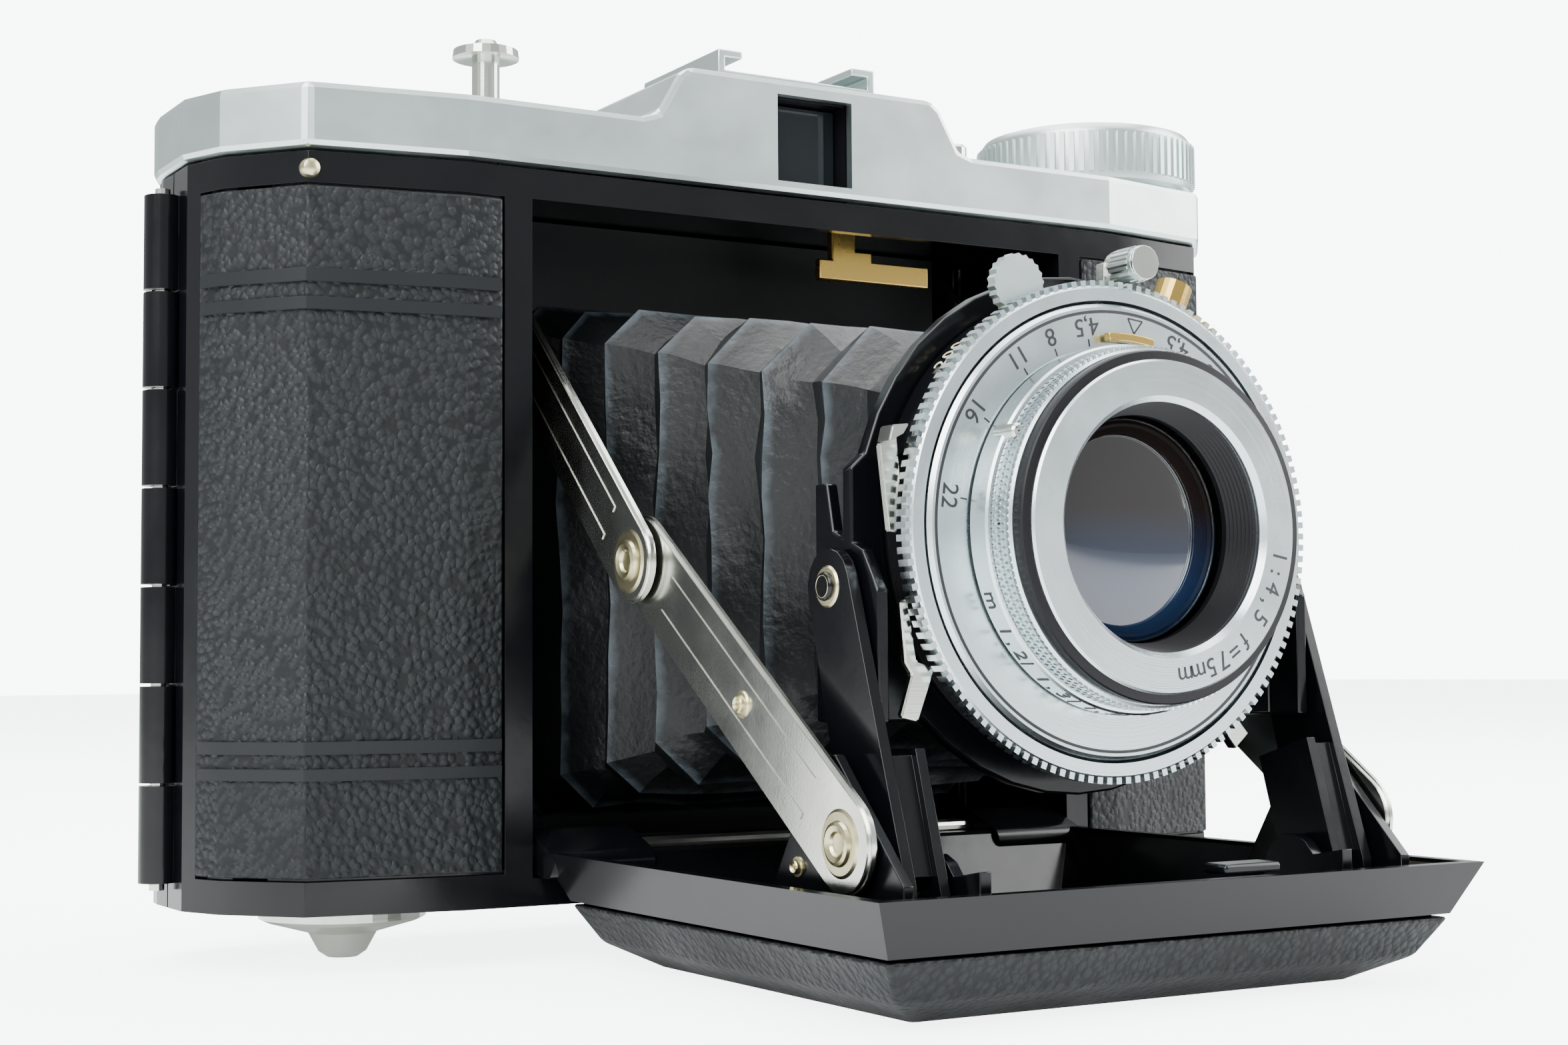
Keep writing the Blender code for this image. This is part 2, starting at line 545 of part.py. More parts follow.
# ---- back cover ------------------------------------------------------------------------------
def make_back():
    right = BACK_RIGHT
    outer = right + mirrored(right)
    back = plate("back_cover", outer, BODY_LOW, BODY_HIGH)
    inner = offset_line([(BODY_HALF, 0.0)] + right[1:] + [(0.0, BACK_Y)], WALL)[:-1]
    room = plate("back_room", inner + mirrored(inner), FLOOR_IN, CEILING)
    cut(back, room, drum("window_bore", (WINDOW_AT[0], BACK_Y - 4, WINDOW_AT[1]), 8, 4.2, "Y", sides=20))
    knuckles(back, 1, 0.15)
    panel = plate("back_leather", [(-54.0, LEATHER_LOW), (54.0, LEATHER_LOW), (54.0, LEATHER_HIGH),
                                   (-54.0, LEATHER_HIGH)], BACK_Y + 0.05, BACK_Y + 0.05 + LEATHER, "Y",
                                   "leather",
                  holes=[[(WINDOW_AT[0] - 8.0, WINDOW_AT[1] - 7.0), (WINDOW_AT[0] + 21.0, WINDOW_AT[1] - 7.0),
                          (WINDOW_AT[0] + 21.0, WINDOW_AT[1] + 7.0),
                          (WINDOW_AT[0] - 8.0, WINDOW_AT[1] + 7.0)]])
    pane = drum("red_window", (WINDOW_AT[0], BACK_Y - WALL - 0.3, WINDOW_AT[1]), -1.2, 5.6, "Y", "red",
                sides=24)
    slide = block("window_cover", (WINDOW_AT[0] - 6.4, BACK_Y + 0.3, WINDOW_AT[1] - 6.2),
                  (WINDOW_AT[0] + 6.4, BACK_Y + 1.2, WINDOW_AT[1] + 6.2), "black_metal")
    join(slide, block("window_thumb", (WINDOW_AT[0] + 2.6, BACK_Y + 1.0, WINDOW_AT[1] - 2.5),
                      (WINDOW_AT[0] + 4.0, BACK_Y + 2.0, WINDOW_AT[1] + 2.5)))
    plate_side = UPPER_STRUT_LAYER[0] - GAP           # between the folded upper struts
    plate_half = GATE_HALF + 2.8
    press = block("pressure_plate", (-plate_side, FILM_Y + 0.5, LENS_HEIGHT - plate_half),
                  (plate_side, FILM_Y + 1.5, LENS_HEIGHT + plate_half), "black_metal")
    cut(press, drum("press_bore", (WINDOW_AT[0], FILM_Y - 3, WINDOW_AT[1]), 9, 5.0, "Y", sides=16))
    bow = [(-24.0, BACK_Y - WALL - 0.8), (-13.0, FILM_Y + 3.6), (-5.0, FILM_Y + 2.1), (5.0, FILM_Y + 2.1),
           (13.0, FILM_Y + 3.6), (24.0, BACK_Y - WALL - 0.8)]
    leaf = bow + list(reversed(offset_line(bow, 0.4)))
    spring = plate("pressure_spring", leaf, WINDOW_AT[1] + 8.0, WINDOW_AT[1] + 18.0, kind="nickel")
    joint("back_swing", (*HINGE_EDGE, 0), back, panel, pane, press, spring)
    joint("window_slide", (WINDOW_AT[0], BACK_Y, WINDOW_AT[1]), slide)
    latch = plate("back_latch", [(12.5, 38.5), (27.0, 38.5), (28.0, 40.0), (28.0, 48.0), (27.0, 49.5),
                                 (12.5, 49.5)],
                  BODY_HALF + GAP, BODY_HALF + GAP + 1.3, "X", "nickel")
    joint("back_latch_slide", (BODY_HALF, 20.0, 44.0), latch)


# ---- drop bed --------------------------------------------------------------------------------
def bed_ring(inset, drop):
    """Corners of the bed's outline at a depth under the rim, drawn in by an inset."""
    half = BED_HALF - inset
    front = HINGE_Y - BED_LENGTH + inset
    rear = HINGE_Y - 4.0 - inset
    z = HINGE_Z - drop
    return [(-half, front, z), (half, front, z), (half, rear, z), (-half, rear, z)]


RIM_INSET = 2.3
PAD_INSET = 9.1
PAD_SWELL = (4.6, 4.0)       # inset and depth, under the rim, of the bulge of the leathered part


def make_bed():
    skin = LEATHER + GAP
    tray = loft("bed_tray", [bed_ring(0.0, 0.0), bed_ring(RIM_INSET, RIM_DEPTH),
                             bed_ring(RIM_INSET + skin, RIM_DEPTH),
                             bed_ring(PAD_SWELL[0] + skin, RIM_DEPTH + PAD_SWELL[1]),
                             bed_ring(PAD_INSET + skin, HINGE_Z - skin)])
    well = loft("bed_well", [bed_ring(1.4, -1.0), bed_ring(1.4, 0.4), bed_ring(RIM_INSET + skin + 1.0,
                                                                               RIM_DEPTH),
                             bed_ring(PAD_SWELL[0] + skin + 1.1, RIM_DEPTH + PAD_SWELL[1] - 0.3),
                             bed_ring(PAD_INSET + skin + 0.8, HINGE_Z - skin - 1.1)])
    cut(tray, well)
    for side in (-1, 1):
        inner = side * 22.0
        outer = side * (BED_HALF - 0.2)
        ear = plate(f"bed_ear_{side}", capsule((HINGE_Y, HINGE_Z), (HINGE_Y - 5.0, HINGE_Z - 1.2), 2.1, 1.5,
                                               8),
                    min(inner, outer), max(inner, outer), "X")
        join(tray, ear)
        cut(tray, drum(f"ear_bore_{side}", (min(inner, outer) - 1, HINGE_Y, HINGE_Z), abs(outer - inner) + 2,
                       BED_PIN + RUN, "X", sides=16))
    pad = loft("bed_leather", [bed_ring(RIM_INSET, RIM_DEPTH + GAP), bed_ring(PAD_SWELL[0],
                                                                              RIM_DEPTH + PAD_SWELL[1]),
                               bed_ring(PAD_INSET, HINGE_Z)], "leather")
    cut(pad, loft("pad_hollow", [bed_ring(RIM_INSET + LEATHER, RIM_DEPTH - 1.0),
                                 bed_ring(RIM_INSET + LEATHER, RIM_DEPTH + GAP),
                                 bed_ring(PAD_SWELL[0] + LEATHER, RIM_DEPTH + PAD_SWELL[1] - 0.1),
                                 bed_ring(PAD_INSET + LEATHER, HINGE_Z - LEATHER)]))
    drum("bed_hinge_pin", (-OPENING_HALF - 0.8, HINGE_Y, HINGE_Z), 2 * OPENING_HALF + 1.6, BED_PIN, "X",
         "nickel",
         sides=16)
    catch = block("bed_catch", (2.3, HINGE_Y - BED_LENGTH + 0.3, HINGE_Z + 0.3),
                  (8.8, HINGE_Y - BED_LENGTH + 3.4, HINGE_Z + 1.2))
    joint("bed_fold", (0, HINGE_Y, HINGE_Z), tray, pad, catch)
    for side, name in ((-1, "left"), (1, "right")):
        make_bed_bracket(side, name)


def span(side, layer):
    """Low and high X of a side layer on one side."""
    return min(side * layer[0], side * layer[1]), max(side * layer[0], side * layer[1])


def make_bed_bracket(side, name):
    """Cheek that carries the lower strut, with the lug that carries the arm."""
    front = HINGE_Y - BED_LENGTH + 4.4
    base = HINGE_Z - 2.2
    foot_y, foot_z = STRUT_FOOT
    cheek = plate(f"bed_bracket_{name}", [(front, base), (front + 22.0, base), (foot_y + 6.2, foot_z + 7.0),
                                          (foot_y + 3.0, foot_z + 7.4), (front, HINGE_Z + 0.6)],
                  *span(side, BRACKET_LAYER), "X")
    shelf_inner, shelf_outer = span(side, (LUG_LAYER[0], BRACKET_LAYER[1]))
    lug_front = front - 0.2
    join(cheek, block(f"bracket_shelf_{name}", (shelf_inner, lug_front, base),
                      (shelf_outer, lug_front + 2.2, base + 1.0)))
    lug = plate(f"bracket_lug_{name}", [(lug_front, base - 1.2), (ARM_FOOT[0] + 3.6, base - 1.2)]
                + arc(ARM_FOOT, 3.6, 0, 150, 7) + [(lug_front, HINGE_Z + 1.5)], *span(side, LUG_LAYER), "X")
    join(cheek, lug)
    low, high = span(side, (LUG_LAYER[0], BRACKET_LAYER[0] - 0.2))
    join(cheek, drum(f"arm_pin_{name}", (low, *ARM_FOOT), high - low, ARM_PIN, "X", sides=16))
    low, high = span(side, (BRACKET_LAYER[0] - 1.0, BRACKET_LAYER[1] + 1.0))
    cut(cheek, drum(f"strut_bore_{name}", (low, *STRUT_FOOT), high - low, STRUT_PIN + RUN, "X", sides=16))
    joint("bed_fold", (0, HINGE_Y, HINGE_Z), cheek)


# ---- fold linkage ----------------------------------------------------------------------------
def rivet(target, side, at, inner, outer, radius, sides=20):
    low, high = span(side, (inner, outer))
    join(target, drum(f"{target.name}_rivet_{inner:.0f}_{radius:.0f}", (low, *at), high - low, radius, "X",
                      sides=sides))


def make_struts():
    for side, name in ((-1, "left"), (1, "right")):
        lower = plate(f"lower_strut_{name}", capsule(STRUT_FOOT, STRUT_KNEE, STRUT_HALF + 0.4, STRUT_HALF),
                      *span(side, LOWER_STRUT_LAYER), "X", "nickel")
        rivet(lower, side, STRUT_FOOT, LOWER_STRUT_LAYER[0] + 0.2, LOWER_STRUT_LAYER[1] + 0.8, 3.0)
        rivet(lower, side, STRUT_FOOT, BRACKET_LAYER[0] - 0.5, LOWER_STRUT_LAYER[0] + 0.3, STRUT_PIN, 16)
        joint("lower_strut_swing", (0, *STRUT_FOOT), lower)
        upper = plate(f"upper_strut_{name}", capsule(STRUT_KNEE, STRUT_HEAD, STRUT_HALF, STRUT_HALF - 0.6),
                      *span(side, UPPER_STRUT_LAYER), "X", "nickel")
        rivet(upper, side, STRUT_KNEE, UPPER_STRUT_LAYER[0] + 0.2, UPPER_STRUT_LAYER[1] + 0.8, 3.2)
        rivet(upper, side, STRUT_HEAD, UPPER_STRUT_LAYER[0] + 0.2, OPENING_HALF - GAP, 2.2, 16)
        joint("upper_strut_swing", (0, *STRUT_HEAD), upper)
        make_arm(side, name)


def make_arm(side, name):
    """Arm from the bed's lug to the standard, a channel at its foot."""
    arm = plate(f"arm_{name}", capsule(ARM_FOOT, ARM_HEAD, 4.2, 3.4), *span(side, ARM_LAYER), "X")
    run = Vector(ARM_HEAD) - Vector(ARM_FOOT)
    along = run.normalized()
    across = Vector((along.y, -along.x))
    inner = ARM_LAYER[0] - 3.4

    def at(distance, width):
        return tuple(Vector(ARM_FOOT) + along * distance - across * width)

    web = plate(f"arm_web_{name}", [at(1.0, 2.4), at(11.6, 2.4), at(11.6, 3.3), at(1.0, 3.3)],
                *span(side, (inner + 0.2, ARM_LAYER[0] + 0.4)), "X")
    cheek = plate(f"arm_cheek_{name}", [at(-2.5, 4.0), at(12.0, 4.0), at(12.0, -3.0), at(-2.5, -3.0)],
                  *span(side, (inner, inner + 1.0)), "X")
    join(arm, web, cheek)
    low, high = span(side, (inner - 1, ARM_LAYER[1] + 1))
    cut(arm, drum(f"arm_foot_bore_{name}", (low, *ARM_FOOT), high - low, ARM_PIN + RUN, "X", sides=16),
        drum(f"arm_head_bore_{name}", (low, *ARM_HEAD), high - low, STRUT_PIN + RUN, "X", sides=16))
    joint("arm_swing", (0, *ARM_FOOT), arm)


# ---- lens standard and shutter ---------------------------------------------------------------
HOUSING_RADIUS = 21.5
RING_RADIUS = 23.2
RING_Y = -52.45            # front face of the toothed ring
DIAL_RADIUS = 20.9
FOCUS_RADIUS = 16.8
FRONT_RADIUS = 16.0
BORE_RADIUS = 11.3
AXIS = (0.0, 0.0, LENS_HEIGHT)


def polar(radius, angle):
    """(x, z) of a point round the lens axis, the angle counted from +X towards +Z."""
    return (radius * math.cos(math.radians(angle)), LENS_HEIGHT + radius * math.sin(math.radians(angle)))


def about_lens(name, profile, kind, steps=48, ring=True):
    """A piece turned about the lens axis, from (radius, distance in front of Y = 0) points."""
    return turned(name, profile, AXIS, "Y", kind, steps, ring)


def sector(name, low_radius, high_radius, start, stop, near, far, kind, count=5):
    """Flat piece that follows an arc round the lens axis."""
    inner = [polar(low_radius, start + (stop - start) * i / (count - 1)) for i in range(count)]
    outer = [polar(high_radius, stop - (stop - start) * i / (count - 1)) for i in range(count)]
    return plate(name, inner + outer, near, far, "Y", kind)


def make_standard():
    front = -STANDARD_Y + 1.5
    back = -STANDARD_Y
    shoulder = FLANGE_LAYER[1]
    outline = (arc((0, LENS_HEIGHT), STANDARD_RADIUS, 16, 164, 17)
               + [(-shoulder, 47.5), (-shoulder, 25.0), (-19.0, 25.0)]
               + arc((0, LENS_HEIGHT), STANDARD_RADIUS, 224, 316, 11)
               + [(19.0, 25.0), (shoulder, 25.0), (shoulder, 47.5)])
    standard = plate("lens_standard", outline, -front, -back, "Y",
                     holes=[[polar(13.0, a * 15.0) for a in range(24)]])
    for side, name in ((-1, "left"), (1, "right")):
        y = STANDARD_Y
        flange = plate(f"standard_flange_{name}", [(y + 4.6, 25.0), (y - 5.6, 25.0), (y - 5.6, 36.6),
                                                   (y - 3.2, 40.2),
                                                   (y + 1.6, 42.0), (y + 2.6, 46.4), (y + 4.6, 46.4)],
                       *span(side, FLANGE_LAYER), "X")
        join(standard, flange)
        rivet(standard, side, ARM_HEAD, FLANGE_LAYER[0] + 0.2, ARM_LAYER[1] + 0.6, STRUT_PIN, 16)
    pieces = [standard]

    seat = front + GAP
    rear_of_ring = -RING_Y - 1.7
    pieces.append(about_lens("shutter_housing", [(12.0, rear_of_ring - GAP), (HOUSING_RADIUS,
                                                                              rear_of_ring - GAP),
                                                 (HOUSING_RADIUS, seat), (12.0, seat)], "black_metal"))
    dial_rear = rear_of_ring - GAP + 0.2
    dial = about_lens("dial_face", [(12.0, -RING_Y + 0.3), (DIAL_RADIUS - 0.4, -RING_Y + 0.3),
                                    (DIAL_RADIUS, -RING_Y - 0.1), (DIAL_RADIUS, dial_rear + 0.1),
                                    (12.0, dial_rear + 0.1)], "satin")
    pieces.append(dial)
    speed_ring = about_lens("speed_ring", [(DIAL_RADIUS + GAP, -RING_Y), (RING_RADIUS, -RING_Y),
                                           (RING_RADIUS, rear_of_ring), (DIAL_RADIUS + GAP, rear_of_ring)],
                            "satin", 60)
    joint("speed_ring_turn", (0, RING_Y, LENS_HEIGHT), speed_ring)

    step = -RING_Y + 0.3 + GAP
    tip = -FRONT_RING_Y
    focus = about_lens("focus_ring", [(FOCUS_RADIUS, step), (FOCUS_RADIUS, step + 2.5), (16.4, step + 2.6),
                                      (16.4, tip - 1.7), (15.5, tip - 1.6), (15.5, tip - 1.1),
                                      (14.4, tip - 1.1), (14.4, step + 1.6), (10.9, step + 1.6),
                                      (10.9, step - 2.4),
                                      (11.6, step - 2.4), (11.6, step)][::-1], "satin")
    bezel = about_lens("front_ring", [(BORE_RADIUS, tip), (FRONT_RADIUS, tip), (FRONT_RADIUS, tip - 0.8),
                                      (14.1, tip - 0.8), (14.1, tip - 3.6), (10.6, tip - 3.6)], "satin")
    lens = about_lens("front_lens", [(0, tip - 4.0), (5.0, tip - 4.3), (9.0, tip - 5.0), (10.5, tip - 5.5),
                                     (10.5, tip - 7.4), (0, tip - 7.4)], "glass", 40, ring=False)
    joint("focus_turn", (0, RING_Y, LENS_HEIGHT), focus, bezel, lens)

    depth = -STANDARD_Y
    pieces.append(about_lens("rear_cell", [(9.4, front + 1.2), (11.6, front + 1.2), (11.6, depth - 0.6),
                                           (12.7, depth - 0.6), (12.7, depth - 1.6), (11.0, depth - 1.6),
                                           (11.0, depth - 7.0), (9.4, depth - 7.0)], "black_metal", 32))
    pieces.append(about_lens("rear_lens", [(0, depth - 3.0), (9.1, depth - 3.4), (9.1, depth - 5.4),
                                           (0, depth - 6.4)],
                             "glass", 32, ring=False))
    pieces.append(about_lens("iris_blades", [(4.5, front + 2.6), (11.7, front + 2.6), (11.7, front + 2.1),
                                             (4.5, front + 2.1)], "black_metal", 24))
    pieces.append(about_lens("shutter_blades", [(0, front + 1.8), (11.7, front + 1.8), (11.7, front + 1.5),
                                                (0, front + 1.5)], "black_metal", 24, ring=False))
    joint("standard_swing", (0, *ARM_HEAD), *pieces)
    make_levers(front, rear_of_ring)


def make_levers(front, rear_of_ring):
    """Small levers and sockets round the shutter."""
    near, far = -rear_of_ring + 0.5, -rear_of_ring + 1.7
    inner = HOUSING_RADIUS + GAP
    pointer = sector("aperture_lever", FOCUS_RADIUS + 0.5, FOCUS_RADIUS + 1.3, 78, 95,
                     RING_Y - 0.3 - GAP - 0.9,
                     RING_Y - 0.3 - GAP, "brass")
    joint("aperture_swing", (0, RING_Y, LENS_HEIGHT), pointer)

    cocking = sector("cocking_lever", inner, 25.2, 80, 88, near, far, "nickel")
    knob_x, knob_z = polar(24.9, 84)
    join(cocking, drum("cocking_knob", (knob_x, near + 0.3, knob_z), -4.2, 1.6, "Y", sides=16))
    joint("cocking_swing", (0, near, LENS_HEIGHT), cocking)

    release = sector("release_lever", inner, inner + 0.9, 166, 190, near, near + 2.8, "nickel")
    joint("release_lever_swing", (0, near, LENS_HEIGHT), release)
    timer = sector("timer_lever", inner, 25.8, -52, -47, near, far, "nickel")
    joint("timer_swing", (0, near, LENS_HEIGHT), timer)

    tab = sector("shutter_tab", inner, 26.0, 104, 112, near, far, "satin")
    nipple_x, nipple_z = polar(HOUSING_RADIUS + GAP, 66)
    tip_x, tip_z = polar(HOUSING_RADIUS + GAP + 4.4, 66)
    nipple = drum("flash_nipple", (0, 0, 0), 4.4, 1.75, "Z", "brass", sides=20)
    heading = Vector((tip_x - nipple_x, 0.0, tip_z - nipple_z)).to_track_quat("Z", "Y")
    foot = Matrix.Translation(Vector((nipple_x, -front - 2.15, nipple_z)) * MM)
    nipple.matrix_world = foot @ heading.to_matrix().to_4x4()
    joint("standard_swing", (0, *ARM_HEAD), tab, nipple)


# ---- bellows ---------------------------------------------------------------------------------
PLEATS = 7


def bellows_ring(y, half_x, half_z, chamfer):
    """One eight-cornered cross-section of the bellows."""
    corners = [(half_x - chamfer, half_z), (half_x, half_z - chamfer), (half_x, -half_z + chamfer),
               (half_x - chamfer, -half_z)]
    corners += [(-x, z) for x, z in reversed(corners)]
    return [(x, y, LENS_HEIGHT + z) for x, z in corners]


def make_bellows():
    """Tapered pleated tube between the standard and the film gate."""
    rear, front = GATE_FRONT - GAP, STANDARD_Y + GAP
    skin = 0.8
    outer, inner = [], []
    for i in range(2 * PLEATS + 1):
        share = i / (2 * PLEATS)
        y = rear + (front - rear) * share
        half_x = (GATE_HALF + 0.6) * (1 - share) + 20.5 * share
        half_z = (GATE_HALF + 1.3) * (1 - share) + 19.0 * share
        fold = 2.4 if i % 2 else 0.0
        outer.append(bellows_ring(y, half_x - fold, half_z - fold, 3.0 + 3.0 * share))
        inner.append(bellows_ring(y, half_x - fold - skin, half_z - fold - skin, 3.0 + 3.0 * share))
    tube = loft("bellows", outer, "cloth")
    inner[0] = [(x, y + 1.0, z) for x, y, z in inner[0]]
    inner[-1] = [(x, y - 1.0, z) for x, y, z in inner[-1]]
    cut(tube, loft("bellows_room", inner))


def clean_up():
    """Mark round pieces smooth with crisp edges."""
    for piece in CAMERA.objects:
        if piece.type == "MESH":
            piece.data.shade_smooth()
            piece.data.set_sharp_from_angle(angle=math.radians(35.0))


def stand_on_origin():
    """Move everything so that the origin lies under the middle of the bed."""
    middle = (bed_ring(PAD_INSET, HINGE_Z)[0][1] + bed_ring(PAD_INSET, HINGE_Z)[2][1]) / 2
    for piece in (*CAMERA.objects, *CUTTERS.objects):
        if piece.parent is None:
            piece.location.y -= middle * MM


make_casing()
make_film_room()
make_top()
make_back()
make_bed()
make_struts()
make_standard()
make_bellows()
clean_up()
stand_on_origin()
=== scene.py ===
"""Looks of a folding bellows roll-film camera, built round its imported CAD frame.

Lengths are millimetres and are scaled once, by MM.  `ahead` is a distance in front of the casing's front face,
towards the subject, which is the world's -Y; heights are above the table.
"""
import json
import logging
import math
from dataclasses import dataclass
from enum import Enum

import bmesh
import bpy
from mathutils import Matrix, Vector, noise

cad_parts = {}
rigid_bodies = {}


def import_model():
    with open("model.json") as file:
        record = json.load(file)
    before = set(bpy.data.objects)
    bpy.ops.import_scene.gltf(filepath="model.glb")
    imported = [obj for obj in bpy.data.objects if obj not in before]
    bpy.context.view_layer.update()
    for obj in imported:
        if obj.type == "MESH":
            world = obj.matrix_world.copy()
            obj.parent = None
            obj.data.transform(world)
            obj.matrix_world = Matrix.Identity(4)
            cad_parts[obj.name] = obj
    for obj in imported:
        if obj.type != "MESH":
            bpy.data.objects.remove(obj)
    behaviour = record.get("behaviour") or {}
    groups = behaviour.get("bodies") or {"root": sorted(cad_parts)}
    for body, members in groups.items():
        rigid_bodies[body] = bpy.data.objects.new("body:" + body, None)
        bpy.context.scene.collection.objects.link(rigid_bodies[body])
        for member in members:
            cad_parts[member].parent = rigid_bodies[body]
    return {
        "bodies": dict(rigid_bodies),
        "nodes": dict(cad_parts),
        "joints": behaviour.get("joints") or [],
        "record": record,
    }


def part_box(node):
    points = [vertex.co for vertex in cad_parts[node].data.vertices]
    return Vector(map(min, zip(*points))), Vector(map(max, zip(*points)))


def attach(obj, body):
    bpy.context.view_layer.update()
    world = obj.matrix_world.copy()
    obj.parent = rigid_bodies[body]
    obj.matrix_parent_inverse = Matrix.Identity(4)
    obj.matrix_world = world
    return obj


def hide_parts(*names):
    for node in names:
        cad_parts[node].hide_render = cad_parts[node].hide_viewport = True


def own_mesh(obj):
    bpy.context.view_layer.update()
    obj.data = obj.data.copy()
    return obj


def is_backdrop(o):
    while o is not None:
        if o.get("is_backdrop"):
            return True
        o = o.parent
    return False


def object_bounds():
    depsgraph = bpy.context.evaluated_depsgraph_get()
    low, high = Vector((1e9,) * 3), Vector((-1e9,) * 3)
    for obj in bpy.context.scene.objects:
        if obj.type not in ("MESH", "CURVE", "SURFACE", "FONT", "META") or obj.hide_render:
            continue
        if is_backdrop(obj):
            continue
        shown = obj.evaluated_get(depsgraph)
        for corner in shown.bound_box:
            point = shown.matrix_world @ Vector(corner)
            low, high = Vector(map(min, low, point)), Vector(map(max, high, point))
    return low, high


MM = 0.001
log = logging.getLogger("folding_camera")


# ---- colour and node helpers -----------------------------------------------------------------
def linear(code: str) -> tuple[float, float, float, float]:
    """Turn an sRGB hex code into linear RGBA.

    Args:
        code: Six hex digits.

    Returns:
        Linear red, green, blue and an alpha of one.
    """
    parts = [int(code[i:i + 2], 16) / 255 for i in (0, 2, 4)]
    return (*[c / 12.92 if c <= 0.04045 else ((c + 0.055) / 1.055) ** 2.4 for c in parts], 1.0)


def add(tree: bpy.types.NodeTree, kind: str, links: dict | None = None, **settings: object) -> bpy.types.Node:
    """Add a node with its settings and links.

    Args:
        tree: Tree that takes the node.
        kind: Type name of the node.
        links: Input name or index, to an output socket or a plain value.
        settings: Attributes of the node.

    Returns:
        The new node.
    """
    made = tree.nodes.new(kind)
    for name, value in settings.items():
        setattr(made, name, value)
    for name, value in (links or {}).items():
        if isinstance(value, bpy.types.NodeSocket):
            tree.links.new(value, made.inputs[name])
        else:
            made.inputs[name].default_value = value
    return made


class Pattern(Enum):
    """How a surface was made."""

    SMOOTH = "smooth"
    BRUSHED = "brushed"
    TURNED = "turned"
    PEBBLED = "pebbled"
    CREASED = "creased"
    FROSTED = "frosted"


